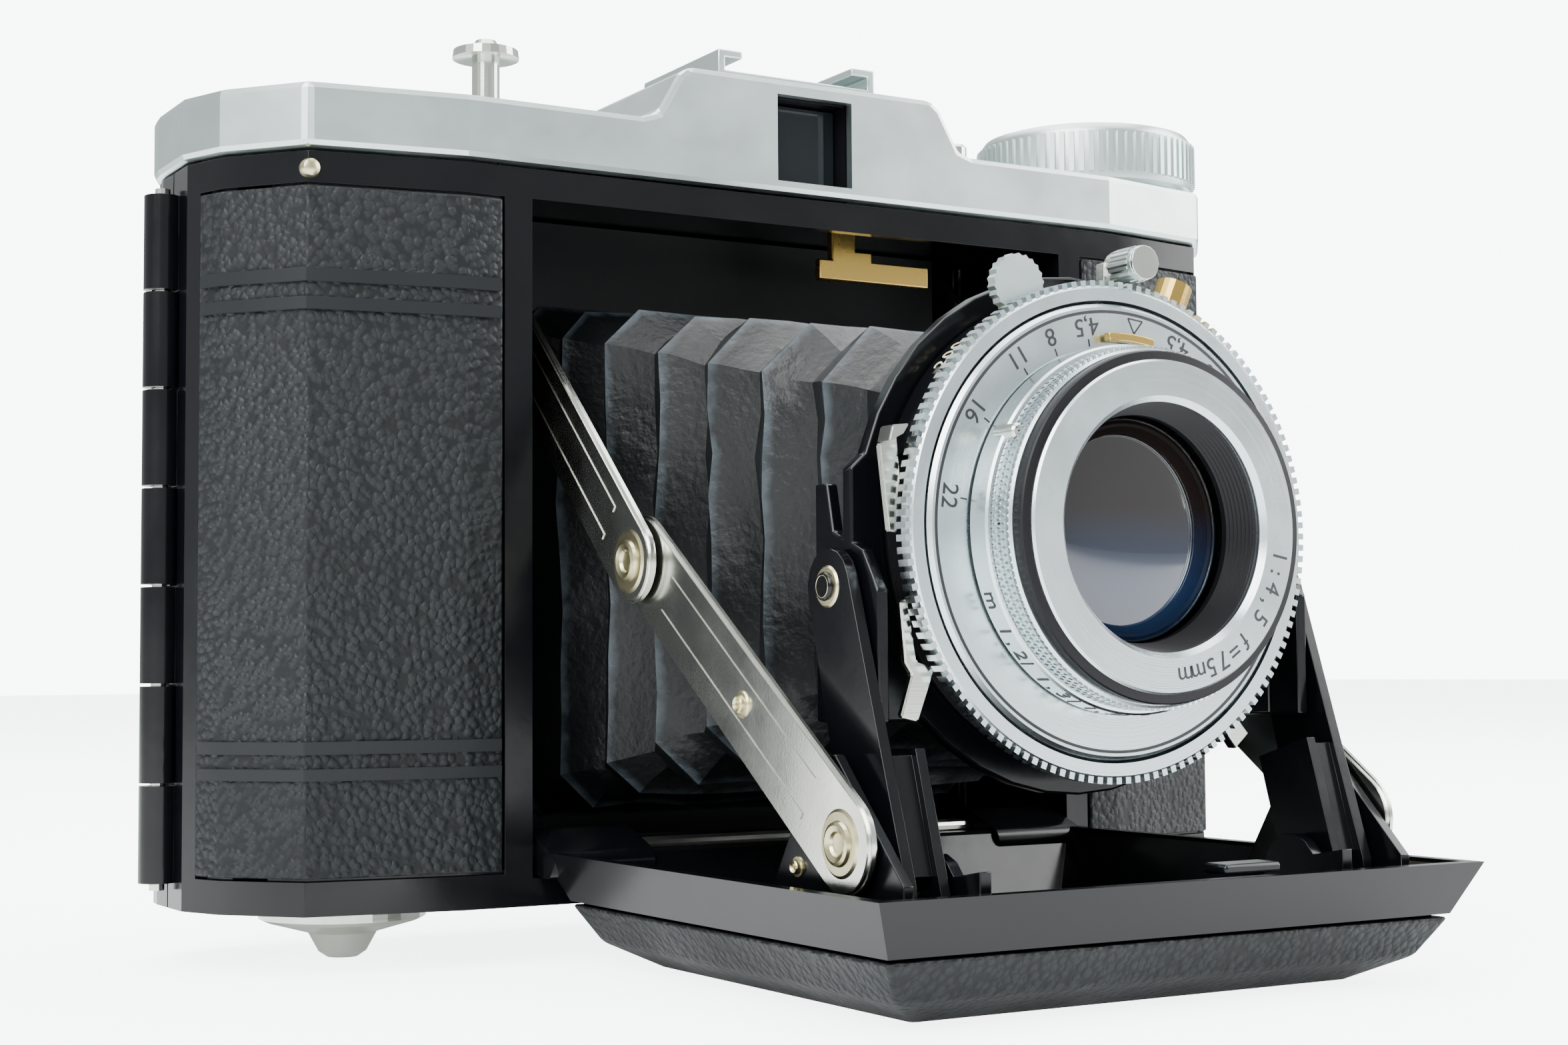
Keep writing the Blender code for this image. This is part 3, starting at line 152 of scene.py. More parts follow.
@dataclass(frozen=True)
class Finish:
    """One surface finish.

    Args:
        name: Maker's name of the finish.
        colour: Base colour, sRGB hex.
        other: Colour that the base drifts towards in patches, sRGB hex.
        roughness: Middle roughness.
        metallic: One for bare metal.
        ior: Index of refraction, for what isn't metal.
        coat: Weight of a clear layer.
        pattern: How the surface was made.
        grain: Size of one grain of the pattern, in millimetres.
        relief: Height of the pattern, in millimetres.
        spread: How far the roughness drifts.
        transmission: One for clear glass.
        wear_and_highlight: Pale colour on the edges that the vertex attribute of the same name marks, partly rubbed
            wear and partly a painted highlight, or None.
        specular: Strength of the plain reflection of what isn't metal.
        painted_sky_reflection: Colour that the base turns to below the lens axis, a painted reflection of the sky, or
            None.
    """

    name: str
    colour: str
    other: str
    roughness: float
    metallic: float = 0.0
    ior: float = 1.5
    coat: float = 0.0
    pattern: Pattern = Pattern.SMOOTH
    grain: float = 0.4
    relief: float = 0.0
    spread: float = 0.06
    transmission: float = 0.0
    wear_and_highlight: str | None = None
    specular: float = 0.5
    painted_sky_reflection: str | None = None

    def height(self, tree: bpy.types.NodeTree, where: bpy.types.NodeSocket) -> bpy.types.NodeSocket:
        """Return the socket that gives the pattern's relief, from nought to one.

        Args:
            tree: The material's tree.
            where: Object coordinates, in metres.

        Returns:
            The height socket.
        """
        per_metre = 1.0 / (self.grain * MM)
        if self.pattern is Pattern.PEBBLED:
            bend = add(tree, "ShaderNodeTexNoise", {"Vector": where, "Scale": per_metre * 0.9, "Detail": 2.0})
            shift = add(tree, "ShaderNodeVectorMath", {0: bend.outputs["Color"], "Scale": self.grain * MM * 0.55},
                        operation="SCALE")
            moved = add(tree, "ShaderNodeVectorMath", {0: where, 1: shift.outputs[0]}, operation="ADD")
            cells = add(tree, "ShaderNodeTexVoronoi", {"Vector": moved.outputs[0], "Scale": per_metre})
            swell = add(tree, "ShaderNodeMapRange", {"Value": cells.outputs["Distance"], "From Min": 0.8,
                                                     "From Max": 0.15}, interpolation_type="SMOOTHSTEP")
            return swell.outputs["Result"]
        if self.pattern is Pattern.CREASED:
            veins = add(tree, "ShaderNodeTexVoronoi", {"Vector": where, "Scale": per_metre * 0.6},
                        feature="DISTANCE_TO_EDGE")
            fine = add(tree, "ShaderNodeTexNoise", {"Vector": where, "Scale": per_metre * 2, "Detail": 5.0})
            both = add(tree, "ShaderNodeMath", {0: veins.outputs["Distance"], 1: fine.outputs["Fac"]},
                       operation="ADD")
            return both.outputs[0]
        if self.pattern is Pattern.BRUSHED:
            comb = add(tree, "ShaderNodeMapping", {"Vector": where, "Scale": (0.03, 1.0, 1.0)})
            hairs = add(tree, "ShaderNodeTexNoise", {"Vector": comb.outputs[0], "Scale": per_metre, "Detail": 3.0})
            return hairs.outputs["Fac"]
        if self.pattern is Pattern.TURNED:
            split = add(tree, "ShaderNodeSeparateXYZ", {0: where})
            drop = add(tree, "ShaderNodeMath", {0: split.outputs[2], 1: LENS_HEIGHT * MM}, operation="SUBTRACT")
            flat = add(tree, "ShaderNodeCombineXYZ", {0: split.outputs[0], 1: drop.outputs[0]})
            radius = add(tree, "ShaderNodeVectorMath", {0: flat.outputs[0]}, operation="LENGTH")
            line = add(tree, "ShaderNodeTexNoise", {"W": radius.outputs["Value"], "Scale": per_metre, "Detail": 2.0},
                       noise_dimensions="1D")
            return line.outputs["Fac"]
        grit = add(tree, "ShaderNodeTexNoise", {"Vector": where, "Scale": per_metre, "Detail": 4.0})
        return grit.outputs["Fac"]

    def build(self) -> bpy.types.Material:
        """Make the material."""
        made = bpy.data.materials.new(self.name)
        made.use_nodes = True
        tree = made.node_tree
        shader = tree.nodes["Principled BSDF"]
        for name, value in (("Metallic", self.metallic), ("IOR", self.ior), ("Coat Weight", self.coat),
                            ("Transmission Weight", self.transmission), ("Coat Roughness", 0.06),
                            ("Specular IOR Level", self.specular)):
            shader.inputs[name].default_value = value
        where = add(tree, "ShaderNodeTexCoord").outputs["Object"]
        drift = add(tree, "ShaderNodeTexNoise", {"Vector": where, "Scale": 90.0, "Detail": 6.0, "Roughness": 0.65})
        mixed = add(tree, "ShaderNodeMix", {"Factor": drift.outputs["Fac"], "A": linear(self.colour),
                                            "B": linear(self.other)}, data_type="RGBA")
        colour = mixed.outputs["Result"]
        rough = add(tree, "ShaderNodeMapRange", {"Value": drift.outputs["Fac"], "From Min": 0.3, "From Max": 0.7,
                                                 "To Min": self.roughness - self.spread,
                                                 "To Max": self.roughness + self.spread})
        height = self.height(tree, where)
        if self.pattern is Pattern.PEBBLED:
            # Painted shade: the colour darkens in the hollows between the pebbles.
            deep = add(tree, "ShaderNodeMapRange", {"Value": height, "To Min": 0.35, "To Max": 1.0})
            dark = add(tree, "ShaderNodeVectorMath", {0: colour, "Scale": deep.outputs["Result"]},
                       operation="SCALE")
            colour = dark.outputs[0]
        if self.painted_sky_reflection:
            # Below the lens axis the base turns to a painted reflection of the sky.
            split = add(tree, "ShaderNodeSeparateXYZ", {0: where})
            below = add(tree, "ShaderNodeMapRange", {"Value": split.outputs[2], "From Min": (LENS_HEIGHT + 2) * MM,
                                                     "From Max": (LENS_HEIGHT - 5) * MM})
            turned = add(tree, "ShaderNodeMix", {"Factor": below.outputs["Result"], "A": colour,
                                                 "B": linear(self.painted_sky_reflection)}, data_type="RGBA")
            colour = turned.outputs["Result"]
        # Pale colour on the marked fold edges: partly rubbed wear, partly a painted highlight on the fold crests.
        if self.wear_and_highlight:
            mark = add(tree, "ShaderNodeAttribute", attribute_name="wear_and_highlight")
            patch = add(tree, "ShaderNodeTexNoise", {"Vector": where, "Scale": 420.0, "Detail": 6.0})
            wear_and_highlight_mask = add(tree, "ShaderNodeMath", {0: mark.outputs["Fac"], 1: patch.outputs["Fac"]},
                       operation="MULTIPLY")
            share = add(tree, "ShaderNodeMapRange", {"Value": wear_and_highlight_mask.outputs[0], "From Min": 0.22, "From Max": 0.55})
            wear_and_highlight_mix = add(tree, "ShaderNodeMix", {"Factor": share.outputs["Result"], "A": colour,
                                                 "B": linear(self.wear_and_highlight)}, data_type="RGBA")
            colour = wear_and_highlight_mix.outputs["Result"]
        tree.links.new(colour, shader.inputs["Base Color"])
        tree.links.new(rough.outputs["Result"], shader.inputs["Roughness"])
        if self.relief:
            bump = add(tree, "ShaderNodeBump", {"Height": height, "Distance": self.relief * MM, "Strength": 1.0})
            tree.links.new(bump.outputs[0], shader.inputs["Normal"])
        return made


LENS_HEIGHT = 42.15

# Satin chrome plate: even grey-green sheen with the faint haze of fine blasting.
SATIN_CHROME = Finish("satin_chrome_plate", "CDD8D6", "C3CFCD", 0.34, 1.0, pattern=Pattern.FROSTED, grain=0.12,
                      relief=0.004)
# Chrome turned on a lathe: fine rings that spread a highlight sideways.
TURNED_CHROME = Finish("turned_satin_chrome", "D6DEE0", "C6D1D4", 0.26, 1.0, pattern=Pattern.TURNED, grain=0.09,
                       relief=0.006)
# Nickel plate on brushed strip steel: bright, with hairlines along the strut.
NICKEL_PLATE = Finish("nickel_plate", "DADCD6", "C6C6BC", 0.2, 1.0, pattern=Pattern.BRUSHED, grain=0.25,
                      relief=0.004)
# Nickel on brass rivets, rubbed to a warm tone.
RIVET_NICKEL = Finish("worn_nickel_rivet", "D2CCA8", "BDB48C", 0.3, 1.0, grain=0.6, relief=0.01)
BRASS = Finish("lacquered_brass", "CDAE62", "A98A48", 0.28, 1.0, grain=0.5, relief=0.008)
# Stoved black enamel: deep black under a clear gloss, with slight orange peel.
BLACK_ENAMEL = Finish("stoved_black_enamel", "050608", "08090C", 0.19, grain=1.6, relief=0.006, specular=0.3)
# Dull black lacquer inside the camera and on the shutter's barrel.
DULL_BLACK = Finish("dull_black_lacquer", "08080A", "0D0D10", 0.42, grain=0.3, relief=0.01, specular=0.22)
# Grained leather cloth: close pebbles about a millimetre across, with painted shade darkening their hollows.
LEATHER_CLOTH = Finish("pebbled_leather_cloth", "1D2123", "15181A", 0.5, pattern=Pattern.PEBBLED, grain=0.8,
                       relief=0.13, spread=0.08, specular=0.26)
# The same cloth pressed flat under a heated die: darker and smoother than the grain beside it.
PRESSED_CLOTH = Finish("die_pressed_leather_cloth", "181B1D", "111315", 0.4, grain=0.5, relief=0.01, specular=0.28)
# Thin bellows leather, dull where flat and pale on the fold edges: partly rubbed wear, partly a painted highlight.
BELLOWS_LEATHER = Finish("bellows_leather", "0D1012", "07090A", 0.42, pattern=Pattern.CREASED, grain=1.3,
                         relief=0.1, spread=0.12, wear_and_highlight="333B40", specular=0.3)
# Coated crown glass: nearly clear, with a faint brown tint from the coating.
LENS_GLASS = Finish("coated_lens_glass", "8B8078", "7A7A82", 0.02, ior=1.52, transmission=0.85, coat=1.0,
                    spread=0.01)
# The front element looks dark, because the shut blades are behind it: brown above, and below the lens axis a painted
# blue reflection of the sky.
DEEP_GLASS = Finish("bloomed_front_element", "1C1512", "120F10", 0.02, ior=1.52, coat=1.0, spread=0.01,
                    painted_sky_reflection="16243C")
FINDER_GLASS = Finish("finder_glass", "1B2024", "14181C", 0.03, ior=1.52, spread=0.01, specular=0.3)
RED_CELLULOID = Finish("red_celluloid", "8A0F12", "6C0A0E", 0.15, coat=0.5)
BLACK_PHENOLIC = Finish("black_phenolic_moulding", "101012", "19191C", 0.3, coat=0.2, grain=0.5, relief=0.01)
# Black filling of the engraved marks.
ENGRAVING = Finish("black_engraving_wax", "101114", "1B1C20", 0.5, grain=0.3, relief=0.003)
PALE_PAINT = Finish("cream_engraving_paint", "D8D2B0", "C8C19C", 0.5, grain=0.3, relief=0.003)


# ---- mesh helpers ----------------------------------------------------------------------------
class Workshop:
    """Makes meshes in the camera's frame and hangs them on its bodies."""

    def __init__(self) -> None:
        """Load the frame and keep the datum of the casing's front face."""
        self.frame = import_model()
        self.start_box = [list(corner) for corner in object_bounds()]
        self.front_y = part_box("body_shell")[0].y / MM
        self.finishes: dict[str, bpy.types.Material] = {}

    def paint(self, finish: Finish) -> bpy.types.Material:
        """Return the finish's material, made once."""
        if finish.name not in self.finishes:
            self.finishes[finish.name] = finish.build()
        return self.finishes[finish.name]

    def point(self, x: float, ahead: float, height: float) -> Vector:
        """Turn design millimetres into a world point."""
        return Vector((x, self.front_y - ahead, height)) * MM

    def hang(self, piece: bpy.types.Object, body: str, finish: Finish, slot: str,
             replaces: tuple[str, ...] = ()) -> bpy.types.Object:
        """Paint a finished piece and let it ride.

        Args:
            piece: Mesh object at the origin.
            body: Body that it rides on.
            finish: Its finish.
            slot: The record's material slot; not used.
            replaces: CAD nodes that it stands for.

        Returns:
            The piece.
        """
        piece.data.materials.clear()
        piece.data.materials.append(self.paint(finish))
        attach(piece, body)
        if replaces:
            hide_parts(*replaces)
        log.info("%s rides on %s in %s", piece.name, body, finish.name)
        return piece

    def dress(self, finish: Finish, *nodes: str) -> None:
        """Give kept CAD nodes a finish."""
        for node in nodes:
            slots = self.frame["nodes"][node].data.materials
            slots.clear()
            slots.append(self.paint(finish))

    def object_from(self, name: str, cage: bmesh.types.BMesh, angle: float = 35.0) -> bpy.types.Object:
        """Turn a bmesh into an object with outward faces and crisp edges past an angle."""
        bmesh.ops.recalc_face_normals(cage, faces=cage.faces)
        mesh = bpy.data.meshes.new(name)
        cage.to_mesh(mesh)
        cage.free()
        mesh.shade_smooth()
        mesh.set_sharp_from_angle(angle=math.radians(angle))
        made = bpy.data.objects.new(name, mesh)
        bpy.context.scene.collection.objects.link(made)
        return made

    def applied(self, piece: bpy.types.Object) -> bpy.types.Object:
        """Replace a piece's mesh by its evaluated one and drop its modifiers."""
        graph = bpy.context.evaluated_depsgraph_get()
        mesh = bpy.data.meshes.new_from_object(piece.evaluated_get(graph))
        piece.modifiers.clear()
        piece.data = mesh
        return piece

    def lathe(self, name: str, profile: list[tuple[float, float]], centre: tuple[float, float, float],
              axis: str = "Y", steps: int = 128, closed: bool = True, angle: float = 30.0) -> bpy.types.Object:
        """Turn a profile.

        Args:
            name: Name of the object.
            profile: (radius, position) points; the position is `ahead` for Y, the height for Z and X for X.
            centre: Axis point in design millimetres: (x, ahead, height).
            axis: World axis of the turning.
            steps: Points round.
            closed: Whether the last point joins the first.
            angle: Sharp past this many degrees.

        Returns:
            The object.
        """
        cage = bmesh.new()
        rows = []
        for radius, along in profile:
            row = []
            count = steps if radius > 1e-6 else 1
            for i in range(count):
                turn = 2 * math.pi * i / steps
                u, v = radius * math.cos(turn), radius * math.sin(turn)
                x, ahead, height = centre
                place = {"Y": (x + u, along, height + v), "Z": (x + u, ahead + v, along),
                         "X": (along, ahead + u, height + v)}[axis]
                row.append(cage.verts.new(self.point(*place)))
            rows.append(row)
        pairs = list(zip(rows, rows[1:])) + ([(rows[-1], rows[0])] if closed else [])
        for first, second in pairs:
            if len(first) == 1 and len(second) == 1:
                continue
            for i in range(steps):
                j = (i + 1) % steps
                corners = [first[i % len(first)], first[j % len(first)], second[j % len(second)],
                           second[i % len(second)]]
                unique = list(dict.fromkeys(corners))
                cage.faces.new(unique)
        return self.object_from(name, cage, angle)

    def slab(self, name: str, outline: list[tuple[float, float]], low: float, high: float, axis: str = "Y",
             bevel: float = 0.15, segments: int = 2) -> bpy.types.Object:
        """Make a flat outline thick and round its edges.

        Args:
            name: Name of the object.
            outline: (x, height) for Y, (ahead, height) for X, (x, ahead) for Z.
            low: First position along the axis, in design millimetres.
            high: Second position.
            axis: Direction of the thickness.
            bevel: Edge radius.
            segments: Steps of the rounding.

        Returns:
            The object.
        """
        cage = bmesh.new()
        place = {"Y": lambda u, v, w: (u, w, v), "X": lambda u, v, w: (w, u, v), "Z": lambda u, v, w: (u, v, w)}[axis]
        rims = [[cage.verts.new(self.point(*place(u, v, w))) for u, v in outline] for w in (low, high)]
        count = len(outline)
        for i in range(count):
            j = (i + 1) % count
            cage.faces.new((rims[0][i], rims[0][j], rims[1][j], rims[1][i]))
        cage.faces.new(rims[0])
        cage.faces.new(rims[1])
        if bevel:
            bmesh.ops.recalc_face_normals(cage, faces=cage.faces)
            edges = [e for e in cage.edges if e.calc_face_angle(0.0) > math.radians(40)]
            bmesh.ops.bevel(cage, geom=edges, offset=bevel * MM, segments=segments, affect="EDGES",
                            clamp_overlap=True)
        return self.object_from(name, cage)

    def refined(self, node: str, width: float, segments: int = 2, angle: float = 28.0) -> bpy.types.Object:
        """Copy a CAD node and round its edges.

        Args:
            node: Name of the CAD node.
            width: Edge radius in millimetres.
            segments: Steps of the rounding.
            angle: Edges sharper than this are rounded, in degrees.

        Returns:
            A new object named after the node.
        """
        cage = bmesh.new()
        cage.from_mesh(self.frame["nodes"][node].data)
        bmesh.ops.remove_doubles(cage, verts=cage.verts, dist=0.003 * MM)
        bmesh.ops.dissolve_limit(cage, angle_limit=math.radians(0.6), verts=cage.verts, edges=cage.edges)
        piece = self.object_from(node + "_rounded", cage)
        step = piece.modifiers.new("rounded_edges", "BEVEL")
        step.width = width * MM
        step.segments = segments
        step.limit_method = "ANGLE"
        step.angle_limit = math.radians(angle)
        flats = piece.modifiers.new("flat_faces_stay_flat", "WEIGHTED_NORMAL")
        flats.keep_sharp = True
        return self.applied(piece)

    def refine(self, body: str, finish: Finish, slot: str, width: float, *nodes: str) -> None:
        """Swap CAD nodes for copies with rounded edges."""
        for node in nodes:
            self.hang(self.refined(node, width), body, finish, slot, (node,))

    def joined(self, name: str, *pieces: bpy.types.Object) -> bpy.types.Object:
        """Join unpainted pieces into one object."""
        cage = bmesh.new()
        for piece in pieces:
            cage.from_mesh(piece.data)
            bpy.data.objects.remove(piece)
        return self.object_from(name, cage)

    def stroke(self, name: str, start: Vector, stop: Vector, half: float, low: float, high: float) -> bpy.types.Object:
        """Draw one straight line on a plane that faces the subject.

        Args:
            name: Name of the object.
            start: First end, (x, height above the lens axis).
            stop: Second end.
            half: Half the line's width.
            low: Back of the line, ahead of the casing.
            high: Its front.

        Returns:
            The line.
        """
        run = (stop - start).normalized()
        side = Vector((-run.y, run.x)) * half
        corners = (start - side, stop - side, stop + side, start + side)
        return self.slab(name, [(p.x, LENS_HEIGHT + p.y) for p in corners], low, high, "Y", 0.0)

    def sector(self, name: str, inner: float, outer: float, span: tuple[float, float], low: float,
               high: float) -> bpy.types.Object:
        """Make a piece of a ring about the lens axis.

        Args:
            name: Name of the object.
            inner: Inner radius.
            outer: Outer radius.
            span: First and last angle, in degrees.
            low: Back face, ahead of the casing.
            high: Front face.

        Returns:
            The piece.
        """
        count = 40
        turns = [math.radians(span[0] + (span[1] - span[0]) * i / count) for i in range(count + 1)]
        outline = [(inner * math.cos(t), LENS_HEIGHT + inner * math.sin(t)) for t in turns]
        outline += [(outer * math.cos(t), LENS_HEIGHT + outer * math.sin(t)) for t in reversed(turns)]
        return self.slab(name, outline, low, high, "Y", 0.08)

    def on_barrel(self, text: str, size: float, radius: float, angle: float, ahead: float,
                  clockwise: bool) -> list[bpy.types.Object]:
        """Write figures on the side of a ring, letter by letter.

        Args:
            text: Figures to write.
            size: Their height.
            radius: Radius of the ring's side.
            angle: Middle of the word, in degrees.
            ahead: Middle of the figures along the axis.
            clockwise: Whether the word reads clockwise, with its tops towards the casing.

        Returns:
            The letters.
        """
        turn = -1.0 if clockwise else 1.0
        pitch = math.degrees(size * 0.8 / radius) * turn
        letters = []
        for i, letter in enumerate(text):
            at = math.radians(angle + pitch * (i - (len(text) - 1) / 2))
            out = Vector((math.cos(at), 0.0, math.sin(at)))
            right = Vector((-out.z, 0.0, out.x)) * turn
            up = out.cross(right)
            basis = Matrix((right, up, out)).transposed().to_4x4()
            spot = self.point(radius * out.x, ahead, LENS_HEIGHT + radius * out.z)
            letters.append(self.written("barrel_letter", letter, size, Matrix.Translation(spot) @ basis))
        return letters

    def lettering(self, name: str, text: str, size: float, radius: float, angle: float, ahead: float,
                  inward: bool = False) -> bpy.types.Object:
        """Write one mark on a dial about the lens axis.

        Args:
            name: Name of the object.
            text: Figures to write.
            size: Height of the figures.
            radius: Distance of their middle from the axis.
            angle: Direction, from +X towards +Z, in degrees.
            ahead: Plane of the dial.
            inward: Whether the figures' feet point outwards.

        Returns:
            The mark as a mesh.
        """
        lean = math.radians(angle - 90.0) + (math.pi if inward else 0.0)
        up = Vector((-math.sin(lean), 0.0, math.cos(lean)))
        right = Vector((math.cos(lean), 0.0, math.sin(lean)))
        basis = Matrix((right, up, Vector((0.0, -1.0, 0.0)))).transposed().to_4x4()
        x = radius * math.cos(math.radians(angle))
        height = LENS_HEIGHT + radius * math.sin(math.radians(angle))
        return self.written(name, text, size, Matrix.Translation(self.point(x, ahead, height)) @ basis)

    def written(self, name: str, text: str, size: float, place: Matrix) -> bpy.types.Object:
        """Make figures a mesh and put them in place.

        Args:
            name: Name of the object.
            text: Figures.
            size: Their height.
            place: Turn and place of the writing plane.

        Returns:
            The mark.
        """
        curve = bpy.data.curves.new(name, "FONT")
        curve.body = text
        curve.size = size * 1.35 * MM
        curve.align_x = "CENTER"
        curve.align_y = "CENTER"
        curve.extrude = 0.02 * MM
        curve.resolution_u = 3
        holder = bpy.data.objects.new(name, curve)
        bpy.context.scene.collection.objects.link(holder)
        graph = bpy.context.evaluated_depsgraph_get()
        mesh = bpy.data.meshes.new_from_object(holder.evaluated_get(graph))
        bpy.data.objects.remove(holder)
        mesh.transform(place)
        made = bpy.data.objects.new(name, mesh)
        bpy.context.scene.collection.objects.link(made)
        return made


class RidgeTree:
    """Geometry Nodes tree that stands equal ridges in a circle, their length along the circle's axis."""

    def __init__(self) -> None:
        """Build the tree with its named inputs."""
        self.tree = bpy.data.node_groups.new("ridges_in_a_circle", "GeometryNodeTree")
        face = self.tree.interface
        face.new_socket("Geometry", in_out="OUTPUT", socket_type="NodeSocketGeometry")
        self.sockets = {}
        for name, kind in (("Count", "NodeSocketInt"), ("Ring radius", "NodeSocketFloat"),
                           ("Ridge size", "NodeSocketVector"), ("Turn", "NodeSocketFloat"),
                           ("Finish", "NodeSocketMaterial")):
            self.sockets[name] = face.new_socket(name, in_out="INPUT", socket_type=kind).identifier
        given = add(self.tree, "NodeGroupInput")
        ring = add(self.tree, "GeometryNodeMeshCircle", {"Vertices": given.outputs["Count"],
                                                         "Radius": given.outputs["Ring radius"]})
        ridge = add(self.tree, "GeometryNodeMeshCube", {"Size": given.outputs["Ridge size"]})
        spot = add(self.tree, "GeometryNodeInputPosition")
        face_out = add(self.tree, "FunctionNodeAlignRotationToVector", {"Vector": spot.outputs[0]}, axis="X",
                       pivot_axis="Z")
        around = add(self.tree, "FunctionNodeRotateRotation", {"Rotation": face_out.outputs[0]},
                     rotation_space="LOCAL")
        twist = add(self.tree, "ShaderNodeCombineXYZ", {0: given.outputs["Turn"]})
        to_turn = add(self.tree, "FunctionNodeEulerToRotation", {0: twist.outputs[0]})
        self.tree.links.new(to_turn.outputs[0], around.inputs["Rotate By"])
        copies = add(self.tree, "GeometryNodeInstanceOnPoints",
                     {"Points": ring.outputs[0], "Instance": ridge.outputs[0], "Rotation": around.outputs[0]})
        real = add(self.tree, "GeometryNodeRealizeInstances", {0: copies.outputs[0]})
        painted = add(self.tree, "GeometryNodeSetMaterial", {"Geometry": real.outputs[0],
                                                             "Material": given.outputs["Finish"]})
        result = add(self.tree, "NodeGroupOutput")
        self.tree.links.new(painted.outputs[0], result.inputs[0])

    def make(self, shop: Workshop, name: str, count: int, radius: float, size: tuple[float, float, float],
             centre: tuple[float, float, float], axis: str, finish: Finish, twist: float = 0.0) -> bpy.types.Object:
        """Bake one circle of ridges.

        Args:
            shop: Workshop that places it.
            name: Name of the object.
            count: Number of ridges.
            radius: Distance of their middles from the axis.
            size: Radial depth, width and length of a ridge.
            centre: Middle of the circle, (x, ahead, height).
            axis: "Y" for the lens, "Z" for the knob.
            finish: Finish of the ridges.
            twist: Lean of each ridge about the radius, in degrees.

        Returns:
            A plain mesh object.
        """
        mesh = bpy.data.meshes.new(name)
        made = bpy.data.objects.new(name, mesh)
        bpy.context.scene.collection.objects.link(made)
        step = made.modifiers.new("ridges", "NODES")
        step.node_group = self.tree
        step[self.sockets["Count"]] = count
        step[self.sockets["Ring radius"]] = radius * MM
        step[self.sockets["Ridge size"]] = tuple(s * MM for s in size)
        step[self.sockets["Turn"]] = math.radians(twist)
        step[self.sockets["Finish"]] = shop.paint(finish)
        made = shop.applied(made)
        if axis == "Y":
            made.data.transform(Matrix.Rotation(math.pi / 2, 4, "X"))
        made.data.transform(Matrix.Translation(shop.point(*centre)))
        return made


# ---- camera, floor and light -----------------------------------------------------------------
@dataclass
class Studio:
    """Viewpoint, table and lights.

    Args:
        shop: Workshop whose frame the view is set in.
        eye: Camera position, (x, ahead, height).
        focal: Focal length on a 36 mm wide sensor.
        yaw: Turn to the right of straight ahead, in degrees.
        pitch: Tilt upwards.
        roll: Turn of the picture.
    """

    shop: Workshop
    eye: tuple[float, float, float] = (-135.92, 220.93, 29.92)
    focal: float = 53.86
    yaw: float = 30.83
    pitch: float = 3.53
    roll: float = -0.42

    def build(self) -> None:
        """Stand the camera, the table and the lights."""
        yaw, pitch, roll = (math.radians(v) for v in (self.yaw, self.pitch, self.roll))
        ahead = Vector((math.sin(yaw) * math.cos(pitch), math.cos(yaw) * math.cos(pitch), math.sin(pitch)))
        right = ahead.cross(Vector((0, 0, 1))).normalized()
        up = right.cross(ahead)
        across = right * math.cos(roll) + up * math.sin(roll)
        over = up * math.cos(roll) - right * math.sin(roll)
        lens = bpy.data.cameras.new("viewpoint")
        lens.lens = self.focal
        lens.sensor_width = 36.0
        lens.clip_start = 0.01
        view = bpy.data.objects.new("viewpoint", lens)
        bpy.context.scene.collection.objects.link(view)
        view.matrix_world = (Matrix.Translation(self.shop.point(*self.eye))
                             @ Matrix((across, over, -ahead)).transposed().to_4x4())
        bpy.context.scene.camera = view

        cage = bmesh.new()
        bmesh.ops.create_grid(cage, x_segments=1, y_segments=1, size=3.0)
        floor = self.shop.object_from("table_top", cage)
        floor.data.transform(Matrix.Translation((0.0, 0.0, -0.0002)))
        floor.data.materials.append(self.shop.paint(
            Finish("white_table_lacquer", "FAFCFC", "F6F9FA", 0.7, grain=3.0, relief=0.01, specular=0.1)))
        glow = floor.data.materials[0].node_tree.nodes["Principled BSDF"].inputs
        glow["Emission Color"].default_value = linear("F8FCFD")
        tree = floor.data.materials[0].node_tree
        seen = add(tree, "ShaderNodeLightPath")
        level = add(tree, "ShaderNodeMapRange", {"Value": seen.outputs["Is Camera Ray"], "To Min": 0.35,
                                                 "To Max": 5.0})
        tree.links.new(level.outputs["Result"], glow["Emission Strength"])
        floor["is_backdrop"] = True
        self.area("window_left", (-620, 420, 620), (0, 0, 40), 0.7, 16.0)
        self.area("window_right", (700, 260, 420), (0, 0, 40), 0.6, 9.0)
        self.area("ceiling_softbox", (60, -120, 800), (0, 20, 40), 0.9, 14.0)
        world = bpy.data.worlds.new("white_room")
        world.use_nodes = True
        sky = world.node_tree.nodes["Background"]
        sky.inputs["Color"].default_value = linear("F7FCFD")
        seen = add(world.node_tree, "ShaderNodeLightPath")
        level = add(world.node_tree, "ShaderNodeMapRange", {"Value": seen.outputs["Is Camera Ray"], "To Min": 0.85,
                                                            "To Max": 9.0})
        world.node_tree.links.new(level.outputs["Result"], sky.inputs["Strength"])
        bpy.context.scene.world = world

    def area(self, name: str, place: tuple[float, float, float], target: tuple[float, float, float],
             size: float, power: float) -> None:
        """Add a square soft light that looks at a point."""
        data = bpy.data.lights.new(name, "AREA")
        data.size = size
        data.energy = power
        lamp = bpy.data.objects.new(name, data)
        bpy.context.scene.collection.objects.link(lamp)
        lamp.location = self.shop.point(*place)
        aim = self.shop.point(*target) - lamp.location
        lamp.rotation_euler = aim.to_track_quat("-Z", "Y").to_euler()


